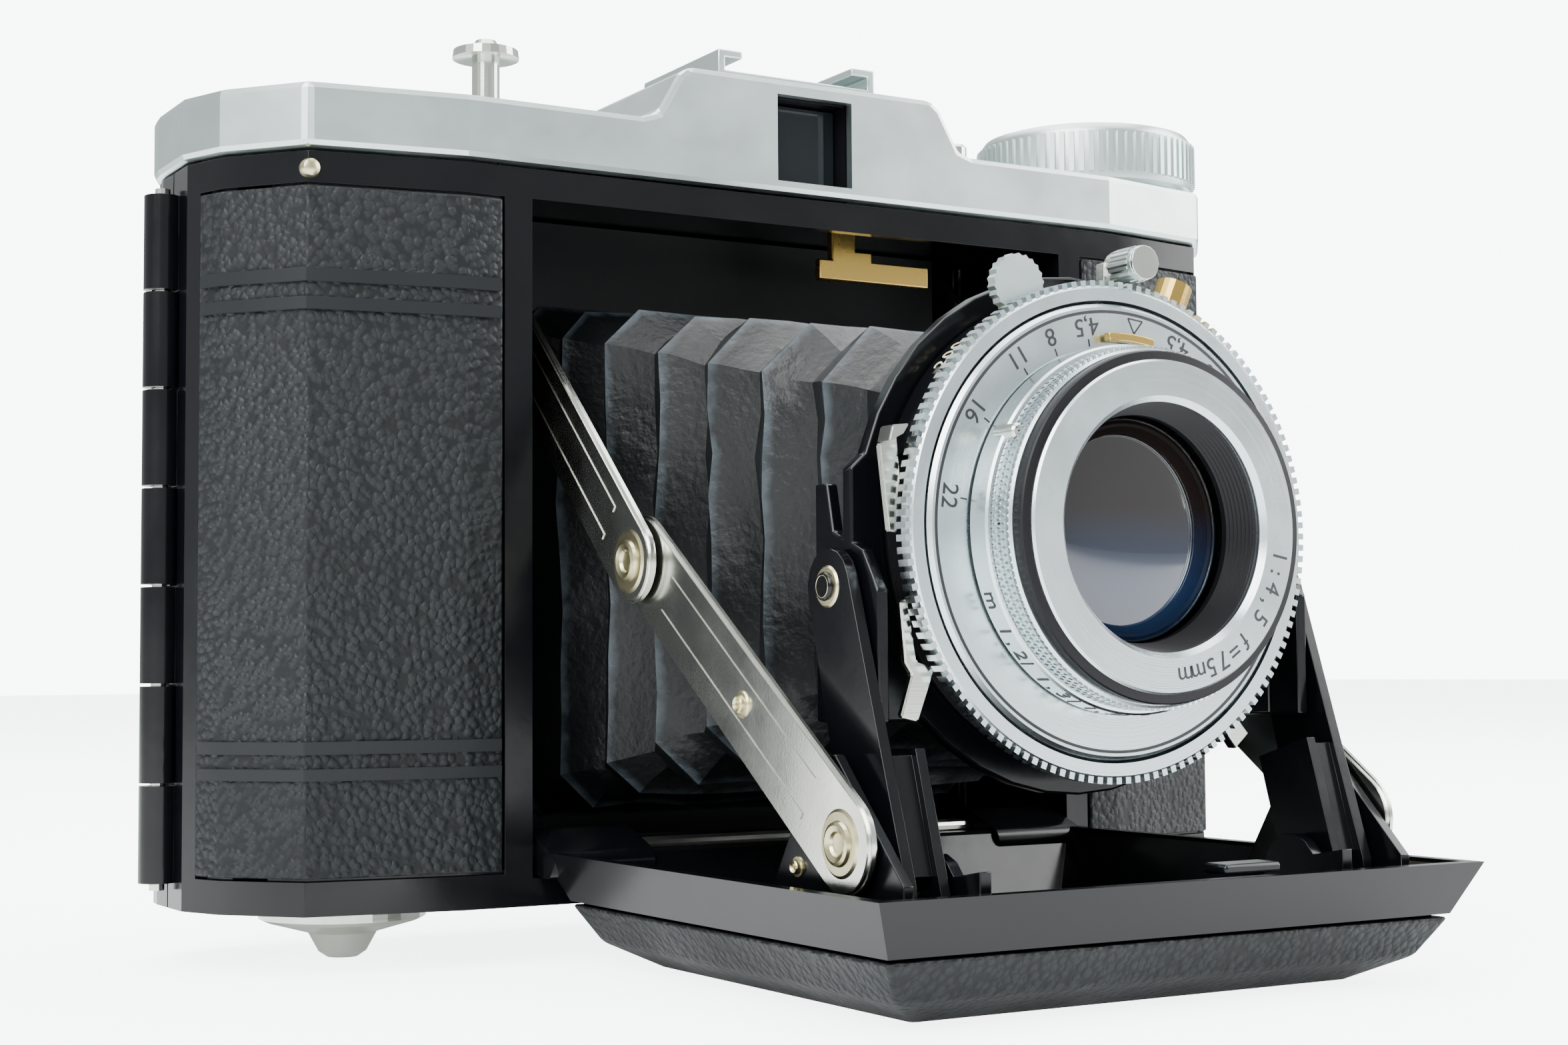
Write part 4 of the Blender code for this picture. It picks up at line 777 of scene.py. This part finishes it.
# ---- casing ----------------------------------------------------------------------------------
@dataclass
class Casing:
    """Body, leather, top cover, back and what stands on them."""

    shop: Workshop
    ridges: RidgeTree
    edge: float = 0.45
    knob_radius: float = 14.0
    knob_ridges: int = 72

    def build(self) -> None:
        """Dress the casing's pieces."""
        shop = self.shop
        shop.refine("camera_body", BLACK_ENAMEL, "enamel", self.edge, "body_shell")
        shop.refine("back", BLACK_ENAMEL, "enamel", self.edge, "back_cover")
        shop.dress(SATIN_CHROME, "top_cover")
        shop.refine("camera_body", SATIN_CHROME, "satin", 0.2, "accessory_shoe")
        shop.refine("camera_body", LEATHER_CLOTH, "leather", 0.25, "leather_left", "leather_right")
        shop.refine("back", LEATHER_CLOTH, "leather", 0.25, "back_leather")
        shop.dress(DULL_BLACK, "film_gate", "finder_tube", "finder_eyepiece", "pressure_plate", "window_cover")
        shop.dress(NICKEL_PLATE, "film_roller_left", "film_roller_right", "back_hinge_pin", "bed_hinge_pin",
                   "spool_pin_top", "pressure_spring", "tripod_foot_right", "spool_foot_left", "release_button",
                   "door_button", "back_latch")
        shop.dress(FINDER_GLASS, "finder_front_lens")
        shop.dress(RED_CELLULOID, "red_window")
        shop.dress(BLACK_PHENOLIC, "takeup_spool")
        shop.refine("camera_body", BRASS, "brass", 0.2, "release_link")
        self.knob()
        self.pressed_bands()
        rivet = shop.lathe("casing_rivet", [(0.0, -1.9), (0.5, -1.95), (0.85, -2.15), (1.0, -2.5), (1.0, -3.2),
                                            (0.0, -3.2)], (-57.4, 0.0, 80.2), "Y", 32, closed=False)
        shop.hang(rivet, "camera_body", RIVET_NICKEL, "enamel")

    def pressed_bands(self) -> None:
        """Pairs of flat lines that a hot die left across the front leather, near its top and foot."""
        shop = self.shop
        plan = [Vector(p) for p in ((38.0, 0.0), (41.6, 0.0), (57.6, -2.7), (63.9, -10.2), (65.0, -12.6))]
        normals = []
        for i in range(len(plan)):
            runs = [(b - a).normalized() for a, b in zip(plan[max(i - 1, 0):i + 1], plan[max(i, 1):i + 2])]
            mean = sum((Vector((-r.y, r.x)) for r in runs), Vector((0.0, 0.0))) / len(runs)
            normals.append(mean / mean.length_squared)
        inner = [p + n * 0.45 for p, n in zip(plan, normals)]
        outer = [p + n * 0.62 for p, n in zip(plan, normals)]
        for side, name in ((-1, "left"), (1, "right")):
            outline = [(side * p.x, p.y) for p in inner + outer[::-1]]
            lines = [shop.slab("pressed_line", outline, low, high, "Z", 0.05)
                     for low, high in ((68.7, 70.1), (65.9, 67.2), (21.6, 22.9), (19.0, 20.2))]
            shop.hang(shop.joined(f"pressed_bands_{name}", *lines), "camera_body", PRESSED_CLOTH, "leather")

    def knob(self) -> None:
        """Winding knob: dished top, rolled edge and a straight knurl."""
        shop = self.shop
        low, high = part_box("winding_knob")
        x, ahead = (low.x + high.x) / 2 / MM, shop.front_y - (low.y + high.y) / 2 / MM
        top, radius = high.z / MM, self.knob_radius
        under = top - 7.6
        profile = [(0.0, top - 1.4), (radius - 5.2, top - 1.4), (radius - 4.4, top - 1.1), (radius - 3.6, top - 0.3),
                   (radius - 3.0, top), (radius - 1.8, top), (radius - 1.0, top - 0.25), (radius - 0.55, top - 0.9),
                   (radius - 0.45, top - 1.3), (radius - 0.45, under + 1.2), (radius - 0.6, under + 0.5),
                   (radius - 1.2, under), (2.2, under), (2.2, low.z / MM), (0.0, low.z / MM)]
        knob = shop.lathe("winding_knob_turned", profile, (x, ahead, 0.0), "Z", 144, closed=False)
        knurl = self.ridges.make(shop, "winding_knob_knurl", self.knob_ridges, radius - 0.42,
                                 (0.75, 0.62, 5.0), (x, ahead, (top + under) / 2 - 0.05), "Z", SATIN_CHROME)
        shop.hang(knob, "winder", SATIN_CHROME, "satin", ("winding_knob",))
        shop.hang(knurl, "winder", SATIN_CHROME, "satin")


# ---- drop bed and linkage --------------------------------------------------------------------
@dataclass
class DropBed:
    """Bed, its brackets and the fold linkage.

    Args:
        shop: Workshop.
        foot: Foot of the lower strut, (ahead, height).
        knee: Knee of the struts.
        head: Head of the upper strut.
        half: Half width of a strut.
        groove: Half width of the lines pressed into a strut.
        lower_layer: Inner and outer distance of a lower strut from the middle.
        upper_layer: The same for an upper strut.
    """

    shop: Workshop
    foot: tuple[float, float] = (52.3, 15.0)
    knee: tuple[float, float] = (16.1, 40.4)
    head: tuple[float, float] = (-20.75, 74.2)
    half: float = 4.2
    groove: float = 0.42
    lower_layer: tuple[float, float] = (29.0, 30.0)
    upper_layer: tuple[float, float] = (30.4, 31.4)

    def build(self) -> None:
        """Dress the bed and build the struts."""
        shop = self.shop
        shop.refine("bed", BLACK_ENAMEL, "enamel", 0.3, "bed_tray", "bed_bracket_left", "bed_bracket_right",
                    "bed_catch")
        shop.refine("bed", LEATHER_CLOTH, "leather", 0.5, "bed_leather")
        shop.refine("arms", BLACK_ENAMEL, "enamel", 0.25, "arm_left", "arm_right")
        for side, name in ((-1, "left"), (1, "right")):
            lower = self.strut(f"lower_strut_{name}_pressed", side, self.foot, self.knee, self.lower_layer,
                               self.half + 0.3)
            shop.hang(lower, "lower_struts", NICKEL_PLATE, "nickel", (f"lower_strut_{name}",))
            upper = self.strut(f"upper_strut_{name}_pressed", side, self.knee, self.head, self.upper_layer,
                               self.half)
            shop.hang(upper, "upper_struts", NICKEL_PLATE, "nickel", (f"upper_strut_{name}",))
            low_face, high_face = self.lower_layer[1] - 0.1, self.upper_layer[1] - 0.1
            self.rivet(f"foot_rivet_{name}", side, self.foot, low_face, 3.0, "lower_struts")
            self.rivet(f"knee_rivet_{name}", side, self.knee, high_face, 3.2, "upper_struts")
            self.rivet(f"arm_head_rivet_{name}", side, (45.0, 37.0), 26.4, 1.9, "standard")
            self.rivet(f"cheek_rivet_{name}", side, (43.2, 12.4), 28.5, 1.0, "bed")
            self.rivet(f"strut_stop_{name}", side, (35.8, 26.6), low_face, 1.3, "lower_struts")
            self.pin(f"head_pin_{name}", side, self.head, high_face, 34.0, 2.2, "upper_struts")
            self.pin(f"foot_pin_{name}", side, self.foot, 27.2, self.lower_layer[0] + 0.2, 1.3, "lower_struts")

    def strut(self, name: str, side: int, start: tuple[float, float], stop: tuple[float, float],
              layer: tuple[float, float], half: float) -> bpy.types.Object:
        """One pressed strip with round ends, a bevelled edge and two raised lines.

        Args:
            name: Name of the object.
            side: -1 for the left, 1 for the right.
            start: First pivot, (ahead, height).
            stop: Second pivot.
            layer: Inner and outer distance from the middle.
            half: Half width.

        Returns:
            The object.
        """
        a, b = Vector(start), Vector(stop)
        along = (b - a).normalized()
        across = Vector((-along.y, along.x))
        outline = []
        for centre, turn in ((a, 90.0), (b, -90.0)):
            for i in range(17):
                angle = math.radians(turn + 180.0 * i / 16)
                spot = centre + along * (half * math.cos(angle)) + across * (half * math.sin(angle))
                outline.append(tuple(spot))
        low, high = side * layer[0], side * layer[1]
        pieces = [self.shop.slab(name + "_strip", outline, low, high, "X", 0.32, 3)]
        face = side * (layer[1] + 0.1)
        for shift in (-0.42 * half, 0.42 * half):
            p, q = a + along * (half + 1.6) + across * shift, b - along * (half + 1.6) + across * shift
            wide = across * self.groove
            line = [tuple(p - wide), tuple(q - wide), tuple(q + wide), tuple(p + wide)]
            pieces.append(self.shop.slab(name + "_line", line, side * (layer[1] - 0.1), face, "X", 0.09, 2))
        return self.shop.joined(name, *pieces)

    def rivet(self, name: str, side: int, at: tuple[float, float], seat: float, radius: float, body: str) -> None:
        """Broad rivet head with a collar and a dimple."""
        profile = [(0.0, 0.25), (radius * 0.3, 0.3), (radius * 0.36, 0.55), (radius * 0.52, 0.72),
                   (radius * 0.62, 0.6), (radius * 0.66, 0.3), (radius * 0.9, 0.28), (radius, 0.08), (radius, -0.1),
                   (0.0, -0.1)]
        turned = [(r, side * (seat + t)) for r, t in profile]
        piece = self.shop.lathe(name, turned, (0.0, *at), "X", 48, closed=False)
        self.shop.hang(piece, body, RIVET_NICKEL, "nickel")

    def pin(self, name: str, side: int, at: tuple[float, float], low: float, high: float, radius: float,
            body: str) -> None:
        """Plain round pin between two side positions."""
        profile = [(0.0, side * low), (radius, side * low), (radius, side * high), (0.0, side * high)]
        piece = self.shop.lathe(name, profile, (0.0, *at), "X", 32, closed=False)
        self.shop.hang(piece, body, NICKEL_PLATE, "nickel")


# ---- lens and shutter ------------------------------------------------------------------------
@dataclass
class LensUnit:
    """Standard, shutter, dial, rings and glass, all about the lens axis.

    Args:
        shop: Workshop.
        ridges: Tree of ridges.
        ring_front: Front face of the toothed ring, ahead of the casing.
        tip: Front face of the lens mount.
    """

    shop: Workshop
    ridges: RidgeTree
    ring_front: float = 52.45
    tip: float = 59.8
    centre: tuple[float, float, float] = (0.0, 0.0, LENS_HEIGHT)

    def turn(self, name: str, profile: list[tuple[float, float]], steps: int = 160, closed: bool = True,
             angle: float = 30.0) -> bpy.types.Object:
        """Turn a profile about the lens axis."""
        return self.shop.lathe(name, profile, self.centre, "Y", steps, closed, angle)

    def build(self) -> None:
        """Build every piece of the lens unit."""
        shop = self.shop
        shop.refine("standard", BLACK_ENAMEL, "enamel", 0.3, "lens_standard")
        self.barrel()
        self.dial()
        self.toothed_ring()
        self.focus_mount()
        self.glass()
        self.levers()
        self.speed_band()
        shop.dress(DULL_BLACK, "rear_cell", "iris_blades", "shutter_blades")
        shop.dress(LENS_GLASS, "rear_lens")

    def barrel(self) -> None:
        """Black shutter barrel with fine turned ribs."""
        profile = [(12.0, 50.45), (21.5, 50.45)]
        at = 50.3
        while at > 47.4:
            profile += [(21.5, at), (21.22, at - 0.1), (21.22, at - 0.2), (21.5, at - 0.3)]
            at -= 0.36
        profile += [(21.5, 46.8), (12.0, 46.8)]
        self.shop.hang(self.turn("shutter_barrel", profile, 128), "standard", DULL_BLACK, "black_metal",
                       ("shutter_housing",))

    def dial(self) -> None:
        """Satin dial with its figures, ticks and rim line."""
        shop, front = self.shop, self.ring_front + 0.3
        face = self.turn("dial_plate", [(12.0, 50.75), (20.9, 50.75), (20.9, front - 0.35), (20.55, front),
                                        (12.0, front)])
        shop.hang(face, "standard", TURNED_CHROME, "satin", ("dial_face",))
        marks = [self.turn("rim_line", [(20.0, front), (20.28, front), (20.28, front + 0.03), (20.0, front + 0.03)])]
        low, high = front, front + 0.03
        for text, angle in (("4,5", 100.0), ("8", 113.0), ("11", 126.0), ("16", 147.0), ("22", 172.0)):
            for side, turn in (("left", angle), ("right", 167.0 - angle)):
                marks.append(shop.lettering(f"stop_{side}", text, 1.75, 18.9, turn, front + 0.02, inward=True))
                spoke = Vector((math.cos(math.radians(turn)), math.sin(math.radians(turn))))
                marks.append(shop.stroke("tick", spoke * 17.0, spoke * 17.7, 0.07, low, high))
        lean = Matrix.Rotation(math.radians(-7.0), 2)
        corners = [lean @ Vector(p) for p in ((-0.85, 19.7), (0.85, 19.7), (0.0, 18.4))]
        for i in range(3):
            marks.append(shop.stroke("index_side", corners[i], corners[(i + 1) % 3], 0.07, low, high))
        shop.hang(shop.joined("dial_marks", *marks), "standard", ENGRAVING, "satin")

    def toothed_ring(self) -> None:
        """Speed ring with a fine toothed rim."""
        shop, front = self.shop, self.ring_front
        ring = self.turn("speed_ring_turned", [(21.2, front), (22.35, front), (22.6, front - 0.2), (22.6, 50.95),
                                               (22.4, 50.75), (21.2, 50.75)])
        shop.hang(ring, "shutter_speed_ring", TURNED_CHROME, "satin", ("speed_ring",))
        teeth = self.ridges.make(shop, "speed_ring_teeth", 132, 22.72, (0.72, 0.58, 1.5),
                                 (0.0, (front + 50.75) / 2, LENS_HEIGHT), "Y", TURNED_CHROME)
        shop.hang(teeth, "shutter_speed_ring", TURNED_CHROME, "satin")

    def focus_mount(self) -> None:
        """Distance ring with its crossed knurl, and the front bezel with a ribbed bore."""
        shop, tip = self.shop, self.tip
        step = self.ring_front + 0.6
        ring = self.turn("focus_ring_turned", [(11.6, step), (16.7, step), (16.8, step + 0.1), (16.8, step + 2.3),
                                               (16.6, step + 2.5), (16.15, step + 2.6), (16.15, tip - 1.9),
                                               (15.9, tip - 1.7), (14.6, tip - 1.7), (14.6, step + 1.6),
                                               (11.6, step + 1.6)])
        shop.hang(ring, "focus_mount", TURNED_CHROME, "satin", ("focus_ring",))
        middle = (step + 2.7 + tip - 1.9) / 2
        for lean in (28.0, -28.0):
            knurl = self.ridges.make(shop, f"focus_knurl_{'a' if lean > 0 else 'b'}", 150, 16.12,
                                     (0.5, 0.26, 2.35), (0.0, middle, LENS_HEIGHT), "Y", TURNED_CHROME, lean)
            shop.hang(knurl, "focus_mount", TURNED_CHROME, "satin")
        gap = self.turn("focus_gap_ring", [(14.9, tip - 0.35), (15.7, tip - 0.45), (15.82, tip - 0.6),
                                           (15.82, tip - 1.75), (14.5, tip - 1.75), (14.5, tip - 0.85),
                                           (14.9, tip - 0.85)])
        shop.hang(gap, "focus_mount", DULL_BLACK, "black_metal")
        bezel = self.turn("front_bezel", [(11.2, tip - 0.5), (11.7, tip), (14.75, tip), (14.95, tip - 0.2),
                                          (14.95, tip - 0.8), (14.1, tip - 0.8), (14.1, tip - 1.5),
                                          (11.2, tip - 1.5)])
        shop.hang(bezel, "focus_mount", TURNED_CHROME, "satin", ("front_ring",))
        bore = [(14.0, tip - 0.9), (11.4, tip - 0.9)]
        at = tip - 0.5
        for i in range(9):
            radius = 11.42 - 0.1 * i
            bore += [(radius, at - 0.42 * i), (radius - 0.28, at - 0.42 * i - 0.2)]
        bore += [(10.3, tip - 4.6), (14.0, tip - 4.6)]
        shop.hang(self.turn("lens_bore", bore, 128, angle=20.0), "focus_mount", DULL_BLACK, "black_metal")
        marks = []
        for text, angle in (("1:4,5", -24.0), ("f=75mm", -66.0)):
            marks += self.curved(text, 1.8, 13.3, angle, tip + 0.01)
        shop.hang(shop.joined("bezel_marks", *marks), "focus_mount", ENGRAVING, "satin")
        self.distances(step)

    def curved(self, text: str, size: float, radius: float, angle: float, ahead: float) -> list[bpy.types.Object]:
        """Letters one by one on a circle, read from inside the ring's right side.

        Args:
            text: Figures.
            size: Height of a figure.
            radius: Circle's radius.
            angle: Middle of the word, in degrees.
            ahead: Plane.

        Returns:
            The letters.
        """
        pitch = math.degrees(size * 0.86 / radius)
        start = angle + pitch * (len(text) - 1) / 2
        return [self.shop.lettering("bezel_letter", letter, size, radius, start - pitch * i, ahead)
                for i, letter in enumerate(text)]

    def distances(self, step: float) -> None:
        """Index lines and a pin on the side of the distance ring."""
        shop = self.shop
        marks = []
        for text, angle in (("m", 203.0), ("1,2", 218.0), ("1,3", 238.0), ("1,5", 258.0), ("2", 274.0)):
            marks += shop.on_barrel(text, 1.7, 16.83, angle, step + 1.25, clockwise=False)
        for angle in (226.0, 247.0, 266.0, 281.0):
            out = Vector((math.cos(math.radians(angle)), math.sin(math.radians(angle))))
            cross = Vector((-out.y, out.x)) * 0.07
            ends = (out * 16.78 - cross, out * 16.85 - cross, out * 16.85 + cross, out * 16.78 + cross)
            marks.append(shop.slab("distance_line", [(p.x, LENS_HEIGHT + p.y) for p in ends], step + 0.3,
                                   step + 2.2, "Y", 0.0))
        shop.hang(shop.joined("distance_marks", *marks), "focus_mount", ENGRAVING, "satin")
        out = Vector((math.cos(math.radians(150.0)), math.sin(math.radians(150.0))))
        spot = out * 16.3
        pin = shop.lathe("distance_pin", [(0.0, step + 3.9), (0.55, step + 3.9), (0.75, step + 3.7),
                                          (0.75, step + 1.0), (0.0, step + 1.0)],
                         (spot.x, 0.0, LENS_HEIGHT + spot.y), "Y", 24, closed=False)
        shop.hang(pin, "focus_mount", NICKEL_PLATE, "nickel")

    def glass(self) -> None:
        """Front element, in dark glass."""
        tip = self.tip
        dome = [(10.25 * math.sin(math.radians(a)), tip - 5.6 + 1.7 * math.cos(math.radians(a)))
                for a in range(0, 91, 6)]
        lens = self.turn("front_element", dome + [(10.25, tip - 6.4), (0.0, tip - 6.9)], 128, closed=False)
        self.shop.hang(lens, "focus_mount", DEEP_GLASS, "glass", ("front_lens",))

    def speed_band(self) -> None:
        """Dark polished band on the barrel's left shoulder, with its pale figures and bright edge."""
        shop = self.shop
        shop.hang(shop.sector("speed_band", 21.4, 22.25, (104.0, 163.0), 46.9, 50.3), "standard", BLACK_ENAMEL,
                  "black_metal")
        edge = [shop.sector("band_edge", 21.5, 22.5, (104.0, 163.0), 50.28, 50.55),
                shop.sector("band_step", 22.2, 22.5, (140.0, 142.0), 48.9, 50.4)]
        shop.hang(shop.joined("speed_band_edge", *edge), "standard", NICKEL_PLATE, "nickel")
        figures = []
        for text, angle in (("75", 118.0), ("200", 135.0)):
            figures += shop.on_barrel(text, 1.6, 22.27, angle, 48.7, clockwise=True)
        shop.hang(shop.joined("speed_band_figures", *figures), "standard", PALE_PAINT, "satin")

    def levers(self) -> None:
        """Small levers, the scalloped tab, the cocking knob and the flash socket."""
        shop = self.shop
        shop.refine("aperture_pointer", BRASS, "brass", 0.12, "aperture_lever")
        shop.refine("cocking_arm", NICKEL_PLATE, "nickel", 0.15, "cocking_lever")
        shop.refine("self_timer", NICKEL_PLATE, "nickel", 0.15, "timer_lever")
        shop.dress(BRASS, "flash_nipple")

        blade = [shop.slab("release_blade", [(-24.3, 49.3), (-22.5, 50.1), (-21.9, 43.1), (-22.4, 41.6),
                                             (-23.4, 41.7)], 49.6, 50.3, "Y", 0.12),
                 shop.slab("release_ear", [(-24.2, 49.4), (-22.6, 50.2), (-22.0, 51.1), (-23.8, 50.9)], 49.6, 51.6,
                           "Y", 0.12)]
        shop.hang(shop.joined("release_lever_bent", *blade), "shutter_release", NICKEL_PLATE, "nickel",
                  ("release_lever",))
        catch = shop.slab("bent_catch", [(-22.4, 35.6), (-21.6, 35.8), (-20.7, 30.3), (-18.8, 29.7), (-20.6, 25.1),
                                         (-22.4, 25.5), (-21.2, 29.2), (-21.9, 30.2)], 49.6, 50.4, "Y", 0.15)
        shop.hang(catch, "standard", NICKEL_PLATE, "nickel")

        count = 44
        spots = []
        for i in range(count):
            turn = 2 * math.pi * i / count
            reach = 2.7 + (0.14 if i % 2 else -0.06)
            spots.append((-8.9 + reach * math.cos(turn), 64.6 + reach * math.sin(turn)))
        tab = shop.slab("scalloped_tab", spots, 49.1, 50.2, "Y", 0.0)
        shop.hang(tab, "standard", SATIN_CHROME, "satin", ("shutter_tab",))

        turn = math.radians(84.0)
        at = (24.9 * math.cos(turn), 0.0, LENS_HEIGHT + 24.9 * math.sin(turn))
        knob = shop.lathe("cocking_knob_end", [(0.0, 54.12), (0.35, 54.12), (0.45, 53.9), (0.8, 53.9), (0.9, 54.12),
                                               (1.35, 54.1), (1.62, 53.85), (1.62, 53.4), (0.0, 53.4)], at, "Y", 40,
                          closed=False)
        shop.hang(knob, "cocking_arm", SATIN_CHROME, "nickel")
        knurl = self.ridges.make(shop, "cocking_knob_knurl", 20, 1.6, (0.2, 0.28, 2.6), (at[0], 52.0, at[2]), "Y",
                                 SATIN_CHROME)
        shop.hang(knurl, "cocking_arm", SATIN_CHROME, "nickel")


# ---- bellows ---------------------------------------------------------------------------------
@dataclass
class Bellows:
    """Tapered pleated tube of thin leather.

    Args:
        shop: Workshop.
        rear: Rear end, ahead of the casing's face.
        front: Front end.
        pleats: Number of outward folds.
        rear_half: Half width and half height at the rear.
        front_half: Half width and half height at the front.
        fold: Depth of a fold.
        crumple: How far the old leather has crept from its folds.
    """

    shop: Workshop
    rear: float = -18.2
    front: float = 44.7
    pleats: int = 7
    rear_half: tuple[float, float] = (28.5, 29.2)
    front_half: tuple[float, float] = (20.5, 19.0)
    fold: float = 2.7
    crumple: float = 0.6

    def ring(self, share: float, sink: float) -> list[Vector]:
        """Return the corners of one cross-section, a share of the way forward and sunk by the fold."""
        half_x = self.rear_half[0] * (1 - share) + self.front_half[0] * share - sink - self.crumple
        half_z = self.rear_half[1] * (1 - share) + self.front_half[1] * share - sink - self.crumple
        corner = 3.0 + 3.0 * share - 0.9 * sink
        ahead = self.rear + (self.front - self.rear) * share
        points = []
        side = [(half_x, (half_z - corner) * (2 * i / 8 - 1)) for i in range(9)]
        top = [((half_x - corner) * (1 - 2 * i / 8), half_z) for i in range(9)]
        points += side + top + [(-x, -z) for x, z in side] + [(-x, -z) for x, z in top]
        made = []
        for x, z in points:
            creep = noise.noise_vector(Vector((x, ahead, z)) * 0.16) * self.crumple
            ease = min(1.0, 8.0 * share, 8.0 * (1.0 - share))
            made.append(self.shop.point(x + creep.x * ease, ahead + creep.y * 2.0 * ease,
                                        LENS_HEIGHT + z + creep.z * ease))
        return made

    def build(self) -> None:
        """Build the pleats and hang them on the casing."""
        steps = 4
        count = self.pleats * 2 * steps
        cage = bmesh.new()
        layer = cage.verts.layers.float.new("wear_and_highlight")
        rows = []
        for i in range(count + 1):
            share = i / count
            phase = (i % (2 * steps)) / (2 * steps)
            wave = 1.0 - abs(2.0 * phase - 1.0)
            shallow = min(1.0, 0.45 + 2.3 * (1.0 - share))  # room for the rear cell when folded
            depth = self.fold * shallow * (wave ** 0.85)
            row = [cage.verts.new(p) for p in self.ring(share, depth)]
            # Marks the outer fold crests for the pale colour: partly rubbed wear, partly a painted highlight.
            for vertex in row:
                vertex[layer] = max(0.0, 1.0 - 3.2 * wave)
            rows.append(row)
        for first, second in zip(rows, rows[1:]):
            total = len(first)
            for i in range(total):
                j = (i + 1) % total
                cage.faces.new((first[i], first[j], second[j], second[i]))
        bmesh.ops.recalc_face_normals(cage, faces=cage.faces)
        centre = self.shop.point(0.0, 13.0, LENS_HEIGHT)
        probe = cage.faces[0]
        if probe.normal.dot(probe.calc_center_median() - centre) < 0:
            bmesh.ops.reverse_faces(cage, faces=cage.faces)
        mesh = bpy.data.meshes.new("bellows_folds")
        cage.to_mesh(mesh)
        cage.free()
        piece = bpy.data.objects.new("bellows_folds", mesh)
        bpy.context.scene.collection.objects.link(piece)
        wall = piece.modifiers.new("leather_thickness", "SOLIDIFY")
        wall.thickness = 0.6 * MM
        wall.offset = -1.0
        piece = self.shop.applied(piece)
        piece.data.shade_smooth()
        piece.data.set_sharp_from_angle(angle=math.radians(32))
        self.shop.hang(piece, "camera_body", BELLOWS_LEATHER, "cloth", ("bellows",))
        anchor = self.shop.point(0.0, self.rear, LENS_HEIGHT)
        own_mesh(piece)


def main() -> None:
    """Build the camera's looks."""
    logging.basicConfig(level=logging.INFO, format="%(name)s: %(message)s")
    shop = Workshop()
    ridges = RidgeTree()
    for assembly in (Studio(shop), Casing(shop, ridges), DropBed(shop), LensUnit(shop, ridges), Bellows(shop)):
        assembly.build()
        log.info("%s done", type(assembly).__name__)


if __name__ == "__main__":
    main()
